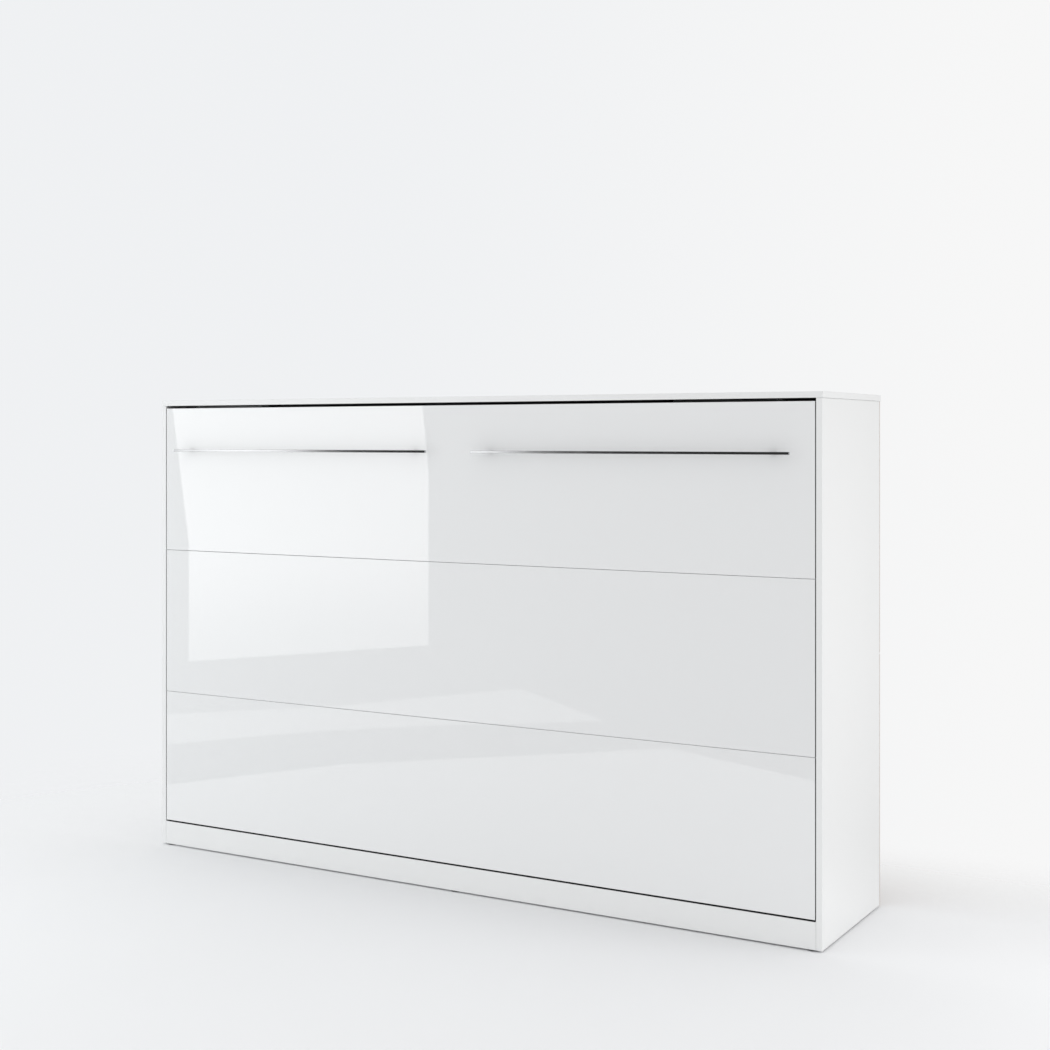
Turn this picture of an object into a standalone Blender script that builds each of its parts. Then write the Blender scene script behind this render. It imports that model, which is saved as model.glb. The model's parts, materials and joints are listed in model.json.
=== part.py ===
"""A horizontal wall bed that folds up into a white cabinet, in metres with +Z up.

The origin is on the floor under the middle of the bounding box. +X runs along the cabinet and +Y points
towards the wall. The bed is folded up: its three gloss front boards close the cabinet.
"""

import math

import bmesh
import bpy
from mathutils import Vector

# Mattress
MATTRESS_LENGTH = 2.000
MATTRESS_WIDTH = 1.200
MATTRESS_THICKNESS = 0.160
MATTRESS_EDGE = 0.018

# Clearances
FIT = 0.0003            # between pieces that touch
PIN_PLAY = 0.0006       # round a pin that turns in a hole
FACE_PLAY = 0.0004      # between faces that slide past each other

# Cabinet
BOARD = 0.016
DEPTH = 0.461           # front face to wall
END_ROOM = 0.022        # mattress end to the outer face of the bed frame
MECHANISM_ROOM = 0.037  # bed frame to side panel, where hinge and strut work
TOP_OVERHANG = 0.0025
PLINTH_HEIGHT = 0.0696
BOTTOM_BOARD_DROP = 0.0096
BACK_SHEET = 0.003
BACK_SHEET_INSET = 0.0005
BACK_RAIL_HEIGHT = 0.100
JOINT_STRIP_WEB = 0.002
JOINT_STRIP_FLANGE = 0.012
EDGE = 0.0008

# Glides
GLIDE_HEIGHT = 0.0045
GLIDE_RADIUS = 0.020
GLIDE_INSET = 0.030     # from the outer face of the side panel
GLIDE_FRONT_DEPTH = 0.024
GLIDE_REAR_DEPTH = 0.410

# Front boards
PLINTH_GAP = 0.0046
TOP_GAP = 0.0081
SIDE_GAP = 0.0025
SEAM = 0.001
LOWEST_BOARD_HEIGHT = 0.400
LEAF_BELOW_MATTRESS = 0.0458
LEAF_ABOVE_MATTRESS = 0.0339

# Handles
HANDLE_OUTER_INSET = 0.0575
HANDLE_INNER_INSET = 0.075
HANDLE_DROP = 0.1294    # top edge of the front to the middle of the bar
HANDLE_BAR_HEIGHT = 0.007
HANDLE_BAR_DEPTH = 0.008
HANDLE_REACH = 0.030
HANDLE_POST_INSET = 0.050
HANDLE_POST_WIDTH = 0.012

# Bed frame
TUBE_WIDTH = 0.030
TUBE_DEPTH = 0.040
TUBE_WALL = 0.002
TUBE_CORNER = 0.003
FRAME_TOP_DROP = 0.0039
FRAME_BOTTOM_RISE = 0.0258
CROSS_BAR_DEPTH = 0.020
SLAT_COUNT = 11
SLAT_WIDTH = 0.068
SLAT_THICKNESS = 0.008
SLAT_BOW = 0.010
SLAT_CROWN = 0.006      # how far a slat's middle stands out of the frame
STRAP_WIDTH = 0.040
STRAP_THICKNESS = 0.002
STRAP_PLACE = 0.500
STRAP_TAB = 0.022

# Hinge
HINGE_DEPTH = 0.060     # behind the front face
HINGE_RISE = 0.2258     # above the lower edge of the front
PLATE = 0.004
HINGE_PIN_RADIUS = 0.007
HINGE_SHOULDER_RADIUS = 0.012
HINGE_PLATE_BELOW = 0.028
HINGE_PLATE_ABOVE = 0.150
HINGE_PLATE_BACK = 0.100
ARM_EDGE = 0.040
ARM_REACH = 0.300
ARM_BACK = 0.046
ARM_CORNER = 0.012

# Gas struts
STRUT_ARM = 0.085       # hinge axis to the rod's pin
STRUT_ARM_ANGLE = math.radians(-75)
STRUT_ANCHOR_BACK = 0.080
STRUT_ANCHOR_RISE = 0.600
CYLINDER_RADIUS = 0.011
CYLINDER_LENGTH = 0.360
CYLINDER_WALL = 0.002
GUIDE_LENGTH = 0.012
ROD_RADIUS = 0.005
PISTON_LENGTH = 0.012
PISTON_REST = 0.010     # piston to guide with the strut at full length
EYE_RADIUS = 0.010
EYE_WIDTH = 0.011
STRUT_PIN_RADIUS = 0.004
NECK_RADIUS = 0.0045
NECK_LENGTH = 0.022

# Legs
LEG_INSET = 0.072       # outer face of the bed frame to the pivot
LEG_DEPTH = 0.040       # behind the front face
LEG_WIDTH = 0.040
LEG_THICKNESS = 0.004
LEG_BOLT_RADIUS = 0.005
LEG_BOLT_COLLAR = 0.010
LEG_BOLT_HEAD = 0.0013
LEG_BOLT_SHANK = 0.014
LEG_LIFT = 0.0016       # leg above the top edge of the front
PAD_THICKNESS = 0.0064
PAD_WIDTH = 0.046
PAD_LENGTH = 0.028
PAD_COVER = 0.020
FLOOR_PLAY = 0.0005

# Bumpers and brackets
BUMPER_RADIUS = 0.009
BUMPER_LENGTH = 0.018
BUMPER_DROP = 0.070
BRACKET_LEG = 0.040
BRACKET_WIDTH = 0.060
BRACKET_SHEET = 0.003
BRACKET_HOLE = 0.004
BRACKET_INSET = 0.180
STRUT_BRACKET_SIZE = 0.060

# Places worked out from the sizes above
BASE = GLIDE_HEIGHT
FRONT_LOW = BASE + PLINTH_HEIGHT + PLINTH_GAP
MATTRESS_LOW = FRONT_LOW + LEAF_BELOW_MATTRESS
MATTRESS_HIGH = MATTRESS_LOW + MATTRESS_WIDTH
FRONT_HIGH = MATTRESS_HIGH + LEAF_ABOVE_MATTRESS
TOP_LOW = FRONT_HIGH + TOP_GAP
FRAME_HALF = MATTRESS_LENGTH / 2 + END_ROOM
INNER_HALF = FRAME_HALF + MECHANISM_ROOM
OUTER_HALF = INNER_HALF + BOARD
FRONT_HALF = INNER_HALF - SIDE_GAP
FRONT_Y = (HANDLE_REACH - DEPTH) / 2
FRAME_FRONT = BOARD + FIT
FRAME_BACK = FRAME_FRONT + TUBE_DEPTH
FRAME_LOW = FRONT_LOW + FRAME_BOTTOM_RISE
FRAME_HIGH = FRONT_HIGH - FRAME_TOP_DROP
MATTRESS_FRONT = FRAME_BACK + SLAT_CROWN + FIT
MATTRESS_BACK = MATTRESS_FRONT + MATTRESS_THICKNESS
CARCASS_BACK = DEPTH - BACK_SHEET - FIT
HINGE_Z = FRONT_LOW + HINGE_RISE
ARM_X = FRAME_HALF + FIT + PLATE / 2
PLATE_X = INNER_HALF - FIT - PLATE / 2
STRUT_X = (ARM_X + PLATE_X) / 2
SIDES = ((-1, "left"), (1, "right"))

# Finishes: colour, roughness, metallic
WHITE_GLOSS = ((0.80, 0.81, 0.82), 0.08, 0.0)
WHITE_MATT = ((0.82, 0.82, 0.81), 0.45, 0.0)
WHITE_SHEET = ((0.74, 0.74, 0.72), 0.60, 0.0)
WHITE_PLASTIC = ((0.76, 0.76, 0.75), 0.40, 0.0)
CHROME = ((0.78, 0.79, 0.80), 0.06, 1.0)
ZINC = ((0.60, 0.61, 0.62), 0.35, 1.0)
GREY_STEEL = ((0.22, 0.23, 0.24), 0.45, 0.0)
BLACK_STEEL = ((0.03, 0.03, 0.03), 0.40, 0.0)
BLACK_RUBBER = ((0.03, 0.03, 0.03), 0.80, 0.0)
DARK_PLASTIC = ((0.09, 0.09, 0.09), 0.50, 0.0)
BIRCH = ((0.66, 0.48, 0.30), 0.50, 0.0)
TICKING = ((0.78, 0.78, 0.76), 0.90, 0.0)
WEBBING = ((0.25, 0.26, 0.28), 0.90, 0.0)


def corner_arc(before, here, after, radius, steps):
    """Points of the arc that rounds the corner at here, between its two straight sides."""
    here = Vector(here)
    into = (Vector(before) - here).normalized()
    out = (Vector(after) - here).normalized()
    half = into.angle(out) / 2
    centre = here + (into + out).normalized() * (radius / math.sin(half))
    start = here + into * (radius / math.tan(half)) - centre
    end = here + out * (radius / math.tan(half)) - centre
    first = math.atan2(start.y, start.x)
    turn = math.remainder(math.atan2(end.y, end.x) - first, math.tau)
    angles = [first + turn * step / steps for step in range(steps + 1)]
    return [centre + radius * Vector((math.cos(angle), math.sin(angle))) for angle in angles]


def rounded_outline(corners, radius, steps=4):
    """A closed outline with every corner rounded."""
    points = []
    for index, here in enumerate(corners):
        after = corners[(index + 1) % len(corners)]
        points += corner_arc(corners[index - 1], here, after, radius, steps)
    return points


def rectangle(width, height):
    """The four corners of a rectangle about the origin."""
    half, rise = width / 2, height / 2
    return [(-half, -rise), (half, -rise), (half, rise), (-half, rise)]


def band_outline(path, radii, thickness, steps=5):
    """The outline of a band of even thickness that follows a path with rounded corners."""
    line = [Vector(path[0])]
    for before, here, after, radius in zip(path, path[1:], path[2:], radii):
        line += corner_arc(before, here, after, radius, steps)
    line.append(Vector(path[-1]))
    one_side, other_side = [], []
    for index, point in enumerate(line):
        along = line[min(index + 1, len(line) - 1)] - line[max(index - 1, 0)]
        across = Vector((-along.y, along.x)).normalized() * (thickness / 2)
        one_side.append(point + across)
        other_side.append(point - across)
    return one_side + other_side[::-1]


def finish_mesh(name, bm):
    """A mesh from bm with its faces pointing out, smooth but for its sharp edges."""
    bmesh.ops.recalc_face_normals(bm, faces=bm.faces)
    mesh = bpy.data.meshes.new(name)
    bm.to_mesh(mesh)
    bm.free()
    mesh.shade_smooth()
    mesh.set_sharp_from_angle(angle=math.radians(32))
    return mesh


def box_mesh(name, size):
    """A box about the origin."""
    bm = bmesh.new()
    bmesh.ops.create_cube(bm, size=1)
    bmesh.ops.scale(bm, vec=size, verts=bm.verts)
    return finish_mesh(name, bm)


def prism_mesh(name, outline, thickness, axis):
    """An outline drawn across axis and given its thickness about the origin. "X" takes (y, z), "Z" (x, y)."""
    bm = bmesh.new()
    rings = []
    for level in (-thickness / 2, thickness / 2):
        places = [(level, u, v) if axis == "X" else (u, v, level) for u, v in outline]
        rings.append([bm.verts.new(place) for place in places])
    for ring in rings:
        bm.faces.new(ring)
    for index in range(len(outline)):
        after = (index + 1) % len(outline)
        bm.faces.new((rings[0][index], rings[0][after], rings[1][after], rings[1][index]))
    return finish_mesh(name, bm)


def tube_mesh(name, length, depth, width):
    """An open-ended tube along X, depth across Y and width across Z."""
    outer = rounded_outline(rectangle(depth, width), TUBE_CORNER, 3)
    bore = rectangle(depth - 2 * TUBE_WALL, width - 2 * TUBE_WALL)
    inner = rounded_outline(bore, TUBE_CORNER - TUBE_WALL, 3)
    bm = bmesh.new()
    loops = []
    for outline, end in ((outer, -1), (outer, 1), (inner, 1), (inner, -1)):
        loops.append([bm.verts.new((end * length / 2, y, z)) for y, z in outline])
    for loop, following in zip(loops, loops[1:] + loops[:1]):
        for index in range(len(outer)):
            after = (index + 1) % len(outer)
            bm.faces.new((loop[index], loop[after], following[after], following[index]))
    return finish_mesh(name, bm)


def lathe_mesh(name, profile, segments=24):
    """A profile of (radius, height) points turned about Z. It starts and ends on the axis."""
    bm = bmesh.new()
    rings = []
    for radius, height in profile:
        count = segments if radius else 1
        angles = [math.tau * step / count for step in range(count)]
        places = [(radius * math.cos(angle), radius * math.sin(angle), height) for angle in angles]
        rings.append([bm.verts.new(place) for place in places])
    for upper, lower in zip(rings, rings[1:]):
        for index in range(segments):
            after = (index + 1) % segments
            corners = (upper[index % len(upper)], upper[after % len(upper)])
            corners += (lower[after % len(lower)], lower[index % len(lower)])
            bm.faces.new(tuple(dict.fromkeys(corners)))
    return finish_mesh(name, bm)


def empty(name, place, turn=0.0):
    """An empty on a joint's axis, for the pieces that move with it."""
    holder = bpy.data.objects.new(name, None)
    holder.location = place
    holder.rotation_euler.x = turn
    bpy.context.scene.collection.objects.link(holder)
    return holder


def add(name, mesh, holder, place, turn=(0.0, 0.0, 0.0)):
    """An object for mesh at a place in the world or, under a turned holder, in the holder's own frame."""
    obj = bpy.data.objects.new(name, mesh)
    obj.parent = holder
    obj.location = Vector(place)
    if not holder.rotation_euler.x:
        obj.location -= holder.location
    obj.rotation_euler = turn
    bpy.context.scene.collection.objects.link(obj)
    return obj


def paint(obj, finish):
    """Gives an object its own material in one of the finishes."""
    colour, roughness, metallic = finish
    material = bpy.data.materials.new(obj.name)
    material.use_nodes = True
    shader = material.node_tree.nodes["Principled BSDF"]
    shader.inputs["Base Color"].default_value = (*colour, 1.0)
    shader.inputs["Roughness"].default_value = roughness
    shader.inputs["Metallic"].default_value = metallic
    obj.data.materials.append(material)


def bevel(obj, width, segments=2):
    """Rounds an object's sharp edges."""
    modifier = obj.modifiers.new("edges", "BEVEL")
    modifier.width = width
    modifier.segments = segments


def combine(obj, other, operation):
    """Joins other to obj with UNION, or cuts it from obj with DIFFERENCE, and hides it."""
    other.hide_render = True
    other.display_type = "WIRE"
    modifier = obj.modifiers.new(other.name, "BOOLEAN")
    modifier.operation = operation
    modifier.object = other


def add_board(name, low, high, holder, finish, edge=EDGE):
    """A board between two corners given as (x, depth behind the front face, z)."""
    size = Vector(high) - Vector(low)
    middle = (Vector(high) + Vector(low)) / 2
    board = add(name, box_mesh(name, size), holder, (middle.x, FRONT_Y + middle.y, middle.z))
    paint(board, finish)
    if edge:
        bevel(board, edge)
    return board


def across(name, profile, holder, place, side, segments=24):
    """A turned piece whose +Z end points inwards along X, from the side given."""
    mesh = lathe_mesh(name, profile, segments)
    return add(name, mesh, holder, place, (0.0, -side * math.pi / 2, 0.0))


def add_carcass(cabinet):
    """The side panels, top, plinth, bottom board, back rails and back sheets."""
    for side, label in SIDES:
        inner, outer = side * INNER_HALF, side * OUTER_HALF
        low = (min(inner, outer), 0.0, BASE)
        high = (max(inner, outer), CARCASS_BACK, TOP_LOW - FIT)
        add_board(f"side_panel_{label}", low, high, cabinet, WHITE_MATT)
    top_half = OUTER_HALF + TOP_OVERHANG
    top_high = (top_half, DEPTH, TOP_LOW + BOARD)
    add_board("top_panel", (-top_half, 0.0, TOP_LOW), top_high, cabinet, WHITE_MATT)
    half = INNER_HALF - FIT
    plinth_high = (half, BOARD, BASE + PLINTH_HEIGHT)
    add_board("plinth", (-half, 0.0, BASE), plinth_high, cabinet, WHITE_MATT)
    bottom_high = BASE + PLINTH_HEIGHT - BOTTOM_BOARD_DROP
    bottom_low = (-half, BOARD + FIT, bottom_high - BOARD)
    add_board("bottom_board", bottom_low, (half, CARCASS_BACK, bottom_high), cabinet, WHITE_MATT)
    rail_front = CARCASS_BACK - BOARD
    top_rail_high = TOP_LOW - FIT
    rails = (("bottom", bottom_high + FIT), ("top", top_rail_high - BACK_RAIL_HEIGHT))
    for label, low in rails:
        rail_high = (half, CARCASS_BACK, low + BACK_RAIL_HEIGHT)
        add_board(f"back_rail_{label}", (-half, rail_front, low), rail_high, cabinet, WHITE_MATT)
    middle = (BASE + top_rail_high) / 2
    sheet_half = OUTER_HALF - BACK_SHEET_INSET
    sheet_gap = JOINT_STRIP_WEB / 2 + FIT
    sheets = (("lower", BASE, middle - sheet_gap), ("upper", middle + sheet_gap, top_rail_high))
    for label, low, high in sheets:
        sheet_low = (-sheet_half, DEPTH - BACK_SHEET, low)
        add_board(f"back_panel_{label}", sheet_low, (sheet_half, DEPTH, high), cabinet, WHITE_SHEET, 0)
    web, flange = JOINT_STRIP_WEB / 2, JOINT_STRIP_FLANGE
    front, face = -BACK_SHEET / 2 - FIT - JOINT_STRIP_WEB, -BACK_SHEET / 2 - FIT
    outline = [(front, -flange), (face, -flange), (face, -web), (BACK_SHEET / 2, -web)]
    outline += [(y, -z) for y, z in reversed(outline)]
    strip = prism_mesh("back_joint_strip", outline, 2 * half, "X")
    place = (0.0, FRONT_Y + DEPTH - BACK_SHEET / 2, middle)
    paint(add("back_joint_strip", strip, cabinet, place), WHITE_PLASTIC)


def add_glides(cabinet):
    """The discs that the cabinet stands on."""
    edge = GLIDE_HEIGHT / 4
    top = GLIDE_HEIGHT - FIT
    profile = [(0, top), (GLIDE_RADIUS, top), (GLIDE_RADIUS, edge), (GLIDE_RADIUS - edge, 0), (0, 0)]
    reach = OUTER_HALF - GLIDE_INSET
    front, rear = FRONT_Y + GLIDE_FRONT_DEPTH, FRONT_Y + GLIDE_REAR_DEPTH
    places = {"front_left": (-reach, front), "front_middle": (0.0, front), "front_right": (reach, front)}
    places |= {"rear_left": (-reach, rear), "rear_right": (reach, rear)}
    for label, (x, y) in places.items():
        name = f"glide_{label}"
        paint(add(name, lathe_mesh(name, profile, 32), cabinet, (x, y, 0.0)), DARK_PLASTIC)


def add_wall_brackets(cabinet):
    """Angles under the top panel that take the wall screws through the back rail."""
    sheet, leg = BRACKET_SHEET, BRACKET_LEG
    outline = [(0, 0), (0, -leg), (-sheet, -leg), (-sheet, -sheet), (-leg, -sheet), (-leg, 0)]
    back = FRONT_Y + CARCASS_BACK - BOARD - FIT
    for side, label in SIDES:
        name = f"wall_bracket_{label}"
        x = side * (INNER_HALF - BRACKET_INSET)
        bracket = add(name, prism_mesh(name, outline, BRACKET_WIDTH, "X"), cabinet, (x, back, TOP_LOW - FIT))
        paint(bracket, ZINC)
        drill = [(0, leg), (BRACKET_HOLE, leg), (BRACKET_HOLE, -leg), (0, -leg)]
        middle = (leg + sheet) / 2
        spots = (((x, back, TOP_LOW - middle), math.pi / 2), ((x, back - middle, TOP_LOW), 0.0))
        for number, (place, turn) in enumerate(spots):
            mesh = lathe_mesh(f"{name}_drill_{number}", drill)
            combine(bracket, add(mesh.name, mesh, cabinet, place, (turn, 0.0, 0.0)), "DIFFERENCE")


def add_bumpers(cabinet):
    """Rubber stops on the side panels, just behind the ends of the top front board."""
    dome = BUMPER_RADIUS / 3
    profile = [(0, 0), (BUMPER_RADIUS, 0), (BUMPER_RADIUS, BUMPER_LENGTH - dome)]
    profile += [(BUMPER_RADIUS - dome, BUMPER_LENGTH), (0, BUMPER_LENGTH)]
    y = FRONT_Y + BOARD + FIT + BUMPER_RADIUS
    for side, label in SIDES:
        place = (side * (INNER_HALF - FIT), y, FRONT_HIGH - BUMPER_DROP)
        paint(across(f"bumper_{label}", profile, cabinet, place, side), BLACK_RUBBER)


def add_hinge_plates(cabinet):
    """A plate on each side panel with the shoulder pin that the bed turns on."""
    low, high = -HINGE_PLATE_BELOW, HINGE_PLATE_ABOVE
    corners = [(low, low), (HINGE_PLATE_BACK, low), (HINGE_PLATE_BACK, high), (low, high)]
    shoulder = PLATE_X - ARM_X - PLATE / 2 - FIT
    end = shoulder + PLATE
    profile = [(0, 0), (HINGE_SHOULDER_RADIUS, 0), (HINGE_SHOULDER_RADIUS, shoulder)]
    profile += [(HINGE_PIN_RADIUS, shoulder), (HINGE_PIN_RADIUS, end), (0, end)]
    for side, label in SIDES:
        name = f"hinge_plate_{label}"
        outline = rounded_outline(corners, ARM_CORNER)
        place = (side * PLATE_X, FRONT_Y + HINGE_DEPTH, HINGE_Z)
        plate = add(name, prism_mesh(name, outline, PLATE, "X"), cabinet, place)
        paint(plate, ZINC)
        combine(plate, across(f"{name}_pin", profile, cabinet, place, side, 32), "UNION")


def add_front_boards(leaf):
    """The three gloss boards that close the cabinet. Returns the heights of the seams between them."""
    height = (FRONT_HIGH - FRONT_LOW - LOWEST_BOARD_HEIGHT - 2 * SEAM) / 2
    low = FRONT_LOW
    for label, rise in (("bottom", LOWEST_BOARD_HEIGHT), ("middle", height), ("top", height)):
        high = (FRONT_HALF, BOARD, low + rise)
        add_board(f"front_board_{label}", (-FRONT_HALF, 0.0, low), high, leaf, WHITE_GLOSS)
        low += rise + SEAM
    lower_seam = FRONT_LOW + LOWEST_BOARD_HEIGHT + SEAM / 2
    return lower_seam, lower_seam + height + SEAM


def add_handles(leaf):
    """Two long bars, each on two posts, near the top of the front."""
    length = FRONT_HALF - HANDLE_OUTER_INSET - HANDLE_INNER_INSET
    bar_y = FRONT_Y - HANDLE_REACH + HANDLE_BAR_DEPTH / 2
    post_length = HANDLE_REACH - HANDLE_BAR_DEPTH / 2 - FIT
    z = FRONT_HIGH - HANDLE_DROP
    for side, label in SIDES:
        name = f"handle_{label}"
        x = side * (HANDLE_INNER_INSET + length / 2)
        size = (length, HANDLE_BAR_DEPTH, HANDLE_BAR_HEIGHT)
        handle = add(name, box_mesh(name, size), leaf, (x, bar_y, z))
        paint(handle, CHROME)
        for end, spot in ((-1, "a"), (1, "b")):
            post_size = (HANDLE_POST_WIDTH, post_length, HANDLE_BAR_HEIGHT - 2 * EDGE)
            place = (x + end * (length / 2 - HANDLE_POST_INSET), bar_y + post_length / 2, z)
            post = add(f"{name}_post_{spot}", box_mesh(f"{name}_post_{spot}", post_size), leaf, place)
            combine(handle, post, "UNION")
        bevel(handle, 1.5 * EDGE)


def add_bed_frame(leaf, seams):
    """The steel tubes behind the front boards: rails, ends, and a cross bar behind each seam."""
    y = FRONT_Y + FRAME_FRONT + TUBE_DEPTH / 2
    rails = {"top": FRAME_HIGH - TUBE_WIDTH / 2, "bottom": FRAME_LOW + TUBE_WIDTH / 2}
    for label, z in rails.items():
        name = f"frame_rail_{label}"
        rail = add(name, tube_mesh(name, 2 * FRAME_HALF, TUBE_DEPTH, TUBE_WIDTH), leaf, (0.0, y, z))
        paint(rail, GREY_STEEL)
        if label == "top":
            drill_leg_holes(rail, leaf)
    rise = FRAME_HIGH - FRAME_LOW - 2 * TUBE_WIDTH - 2 * FIT
    middle = (FRAME_HIGH + FRAME_LOW) / 2
    for side, label in SIDES:
        name = f"frame_end_{label}"
        place = (side * (FRAME_HALF - TUBE_WIDTH / 2), y, middle)
        upright = (0.0, math.pi / 2, 0.0)
        paint(add(name, tube_mesh(name, rise, TUBE_DEPTH, TUBE_WIDTH), leaf, place, upright), GREY_STEEL)
    span = 2 * (FRAME_HALF - TUBE_WIDTH - FIT)
    for label, z in zip(("lower", "upper"), seams):
        name = f"frame_cross_bar_{label}"
        place = (0.0, FRONT_Y + FRAME_FRONT + CROSS_BAR_DEPTH / 2, z)
        paint(add(name, tube_mesh(name, span, CROSS_BAR_DEPTH, TUBE_WIDTH), leaf, place), GREY_STEEL)


def drill_leg_holes(rail, leaf):
    """Holes in the top rail for the leg bolts."""
    radius = LEG_BOLT_RADIUS + PIN_PLAY
    drill = [(0, TUBE_WALL), (radius, TUBE_WALL), (radius, -2 * TUBE_WALL), (0, -2 * TUBE_WALL)]
    for side, label in SIDES:
        name = f"leg_bolt_drill_{label}"
        place = (side * (FRAME_HALF - LEG_INSET), FRONT_Y + LEG_DEPTH, FRAME_HIGH)
        combine(rail, add(name, lathe_mesh(name, drill, 32), leaf, place), "DIFFERENCE")


def add_slats(leaf):
    """Bowed slats from rail to rail, their crowns standing out of the frame under the mattress."""
    length = FRAME_HIGH - FRAME_LOW - 2 * TUBE_WIDTH - 2 * FIT
    steps = 10
    crown = FRAME_BACK + SLAT_CROWN
    front, back = [], []
    for step in range(steps + 1):
        share = 2 * step / steps - 1
        face = crown - SLAT_BOW * share**2
        front.append((face - SLAT_THICKNESS, share * length / 2))
        back.append((face, share * length / 2))
    room = 2 * (FRAME_HALF - TUBE_WIDTH)
    pitch = room / SLAT_COUNT
    for number in range(SLAT_COUNT):
        name = f"slat_{number + 1:02d}"
        x = pitch * (number + 0.5) - room / 2
        mesh = prism_mesh(name, front + back[::-1], SLAT_WIDTH, "X")
        place = (x, FRONT_Y, (FRAME_HIGH + FRAME_LOW) / 2)
        paint(add(name, mesh, leaf, place), BIRCH)


def add_mattress(leaf):
    """The mattress, and the straps that hold it in the folded bed."""
    half = MATTRESS_LENGTH / 2
    low, high = (-half, MATTRESS_FRONT, MATTRESS_LOW), (half, MATTRESS_BACK, MATTRESS_HIGH)
    bevel(add_board("mattress", low, high, leaf, TICKING, 0), MATTRESS_EDGE, 3)
    stand_off = FIT + STRAP_THICKNESS / 2
    tab, back = FRAME_BACK + stand_off, MATTRESS_BACK + stand_off
    top, bottom = MATTRESS_HIGH + stand_off, MATTRESS_LOW - stand_off
    path = [(tab, top + STRAP_TAB), (tab, top), (back, top), (back, bottom), (tab, bottom)]
    path.append((tab, max(bottom - STRAP_TAB, FRAME_LOW)))
    fold, turn = 2 * STRAP_THICKNESS, MATTRESS_EDGE + stand_off
    outline = band_outline(path, (fold, turn, turn, fold), STRAP_THICKNESS)
    for side, label in SIDES:
        name = f"mattress_strap_{label}"
        strap = prism_mesh(name, outline, STRAP_WIDTH, "X")
        paint(add(name, strap, leaf, (side * STRAP_PLACE, FRONT_Y, 0.0)), WEBBING)


def add_hinge_arms(leaf):
    """The plates on the frame's ends, bored for the hinge pin and wide enough to carry the strut's pin."""
    arm_low = STRUT_ARM * math.sin(STRUT_ARM_ANGLE) - ARM_EDGE / 1.5
    frame_side = FRAME_BACK - HINGE_DEPTH
    corners = [(-ARM_EDGE, arm_low), (ARM_BACK, arm_low), (ARM_BACK, ARM_EDGE), (frame_side, 3 * ARM_EDGE)]
    corners += [(frame_side, ARM_REACH), (-ARM_EDGE, ARM_REACH)]
    radius = HINGE_PIN_RADIUS + PIN_PLAY
    drill = [(0, PLATE), (radius, PLATE), (radius, -PLATE), (0, -PLATE)]
    for side, label in SIDES:
        name = f"hinge_arm_{label}"
        place = (side * ARM_X, FRONT_Y + HINGE_DEPTH, HINGE_Z)
        outline = rounded_outline(corners, ARM_CORNER)
        arm = add(name, prism_mesh(name, outline, PLATE, "X"), leaf, place)
        paint(arm, ZINC)
        combine(arm, across(f"{name}_drill", drill, leaf, place, side, 32), "DIFFERENCE")


def add_legs(leaf):
    """The flat legs that lie in the gap above the front boards, each turning on its shoulder bolt."""
    low = FRONT_HIGH + LEG_LIFT
    reach = HINGE_Z + LEG_DEPTH - HINGE_DEPTH - FLOOR_PLAY
    for side, label in SIDES:
        pivot = Vector((side * (FRAME_HALF - LEG_INSET), FRONT_Y + LEG_DEPTH, low + LEG_THICKNESS / 2))
        holder = empty(f"leg_axis_{label}", pivot)
        add_leg(f"leg_{label}", holder, pivot, -side, reach - PAD_LENGTH + PAD_COVER)
        add_leg_pad(f"leg_pad_{label}", holder, pivot, -side, reach)
        bolt = lathe_mesh(f"leg_bolt_{label}", leg_bolt_profile(pivot.z), 32)
        paint(add(bolt.name, bolt, leaf, pivot), ZINC)


def add_leg(name, holder, pivot, inwards, length):
    """A flat bar with a round end about its pivot, reaching inwards by length."""
    half = LEG_WIDTH / 2
    angles = [math.pi * (0.5 + step / 12) for step in range(13)]
    outline = [(half * math.cos(angle), half * math.sin(angle)) for angle in angles]
    outline += [(length, -half), (length, half)]
    outline = [(inwards * x, y) for x, y in outline]
    leg = add(name, prism_mesh(name, outline, LEG_THICKNESS, "Z"), holder, pivot)
    paint(leg, BLACK_STEEL)
    radius = LEG_BOLT_RADIUS + PIN_PLAY
    drill = [(0, LEG_THICKNESS), (radius, LEG_THICKNESS), (radius, -LEG_THICKNESS), (0, -LEG_THICKNESS)]
    mesh = lathe_mesh(f"{name}_drill", drill, 32)
    combine(leg, add(mesh.name, mesh, holder, pivot), "DIFFERENCE")


def add_leg_pad(name, holder, pivot, inwards, reach):
    """A rubber shoe over the end of the leg, with its sole at reach from the pivot."""
    size = (PAD_LENGTH, PAD_WIDTH, PAD_THICKNESS)
    middle = pivot + Vector((inwards * (reach - PAD_LENGTH / 2), 0.0, 0.0))
    pad = add(name, box_mesh(name, size), holder, middle)
    paint(pad, BLACK_RUBBER)
    pocket_size = (2 * (PAD_COVER + FIT), LEG_WIDTH + 2 * FIT, LEG_THICKNESS + 2 * FIT)
    mouth = pivot + Vector((inwards * (reach - PAD_LENGTH), 0.0, 0.0))
    mesh = box_mesh(f"{name}_pocket", pocket_size)
    combine(pad, add(mesh.name, mesh, holder, mouth), "DIFFERENCE")


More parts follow.
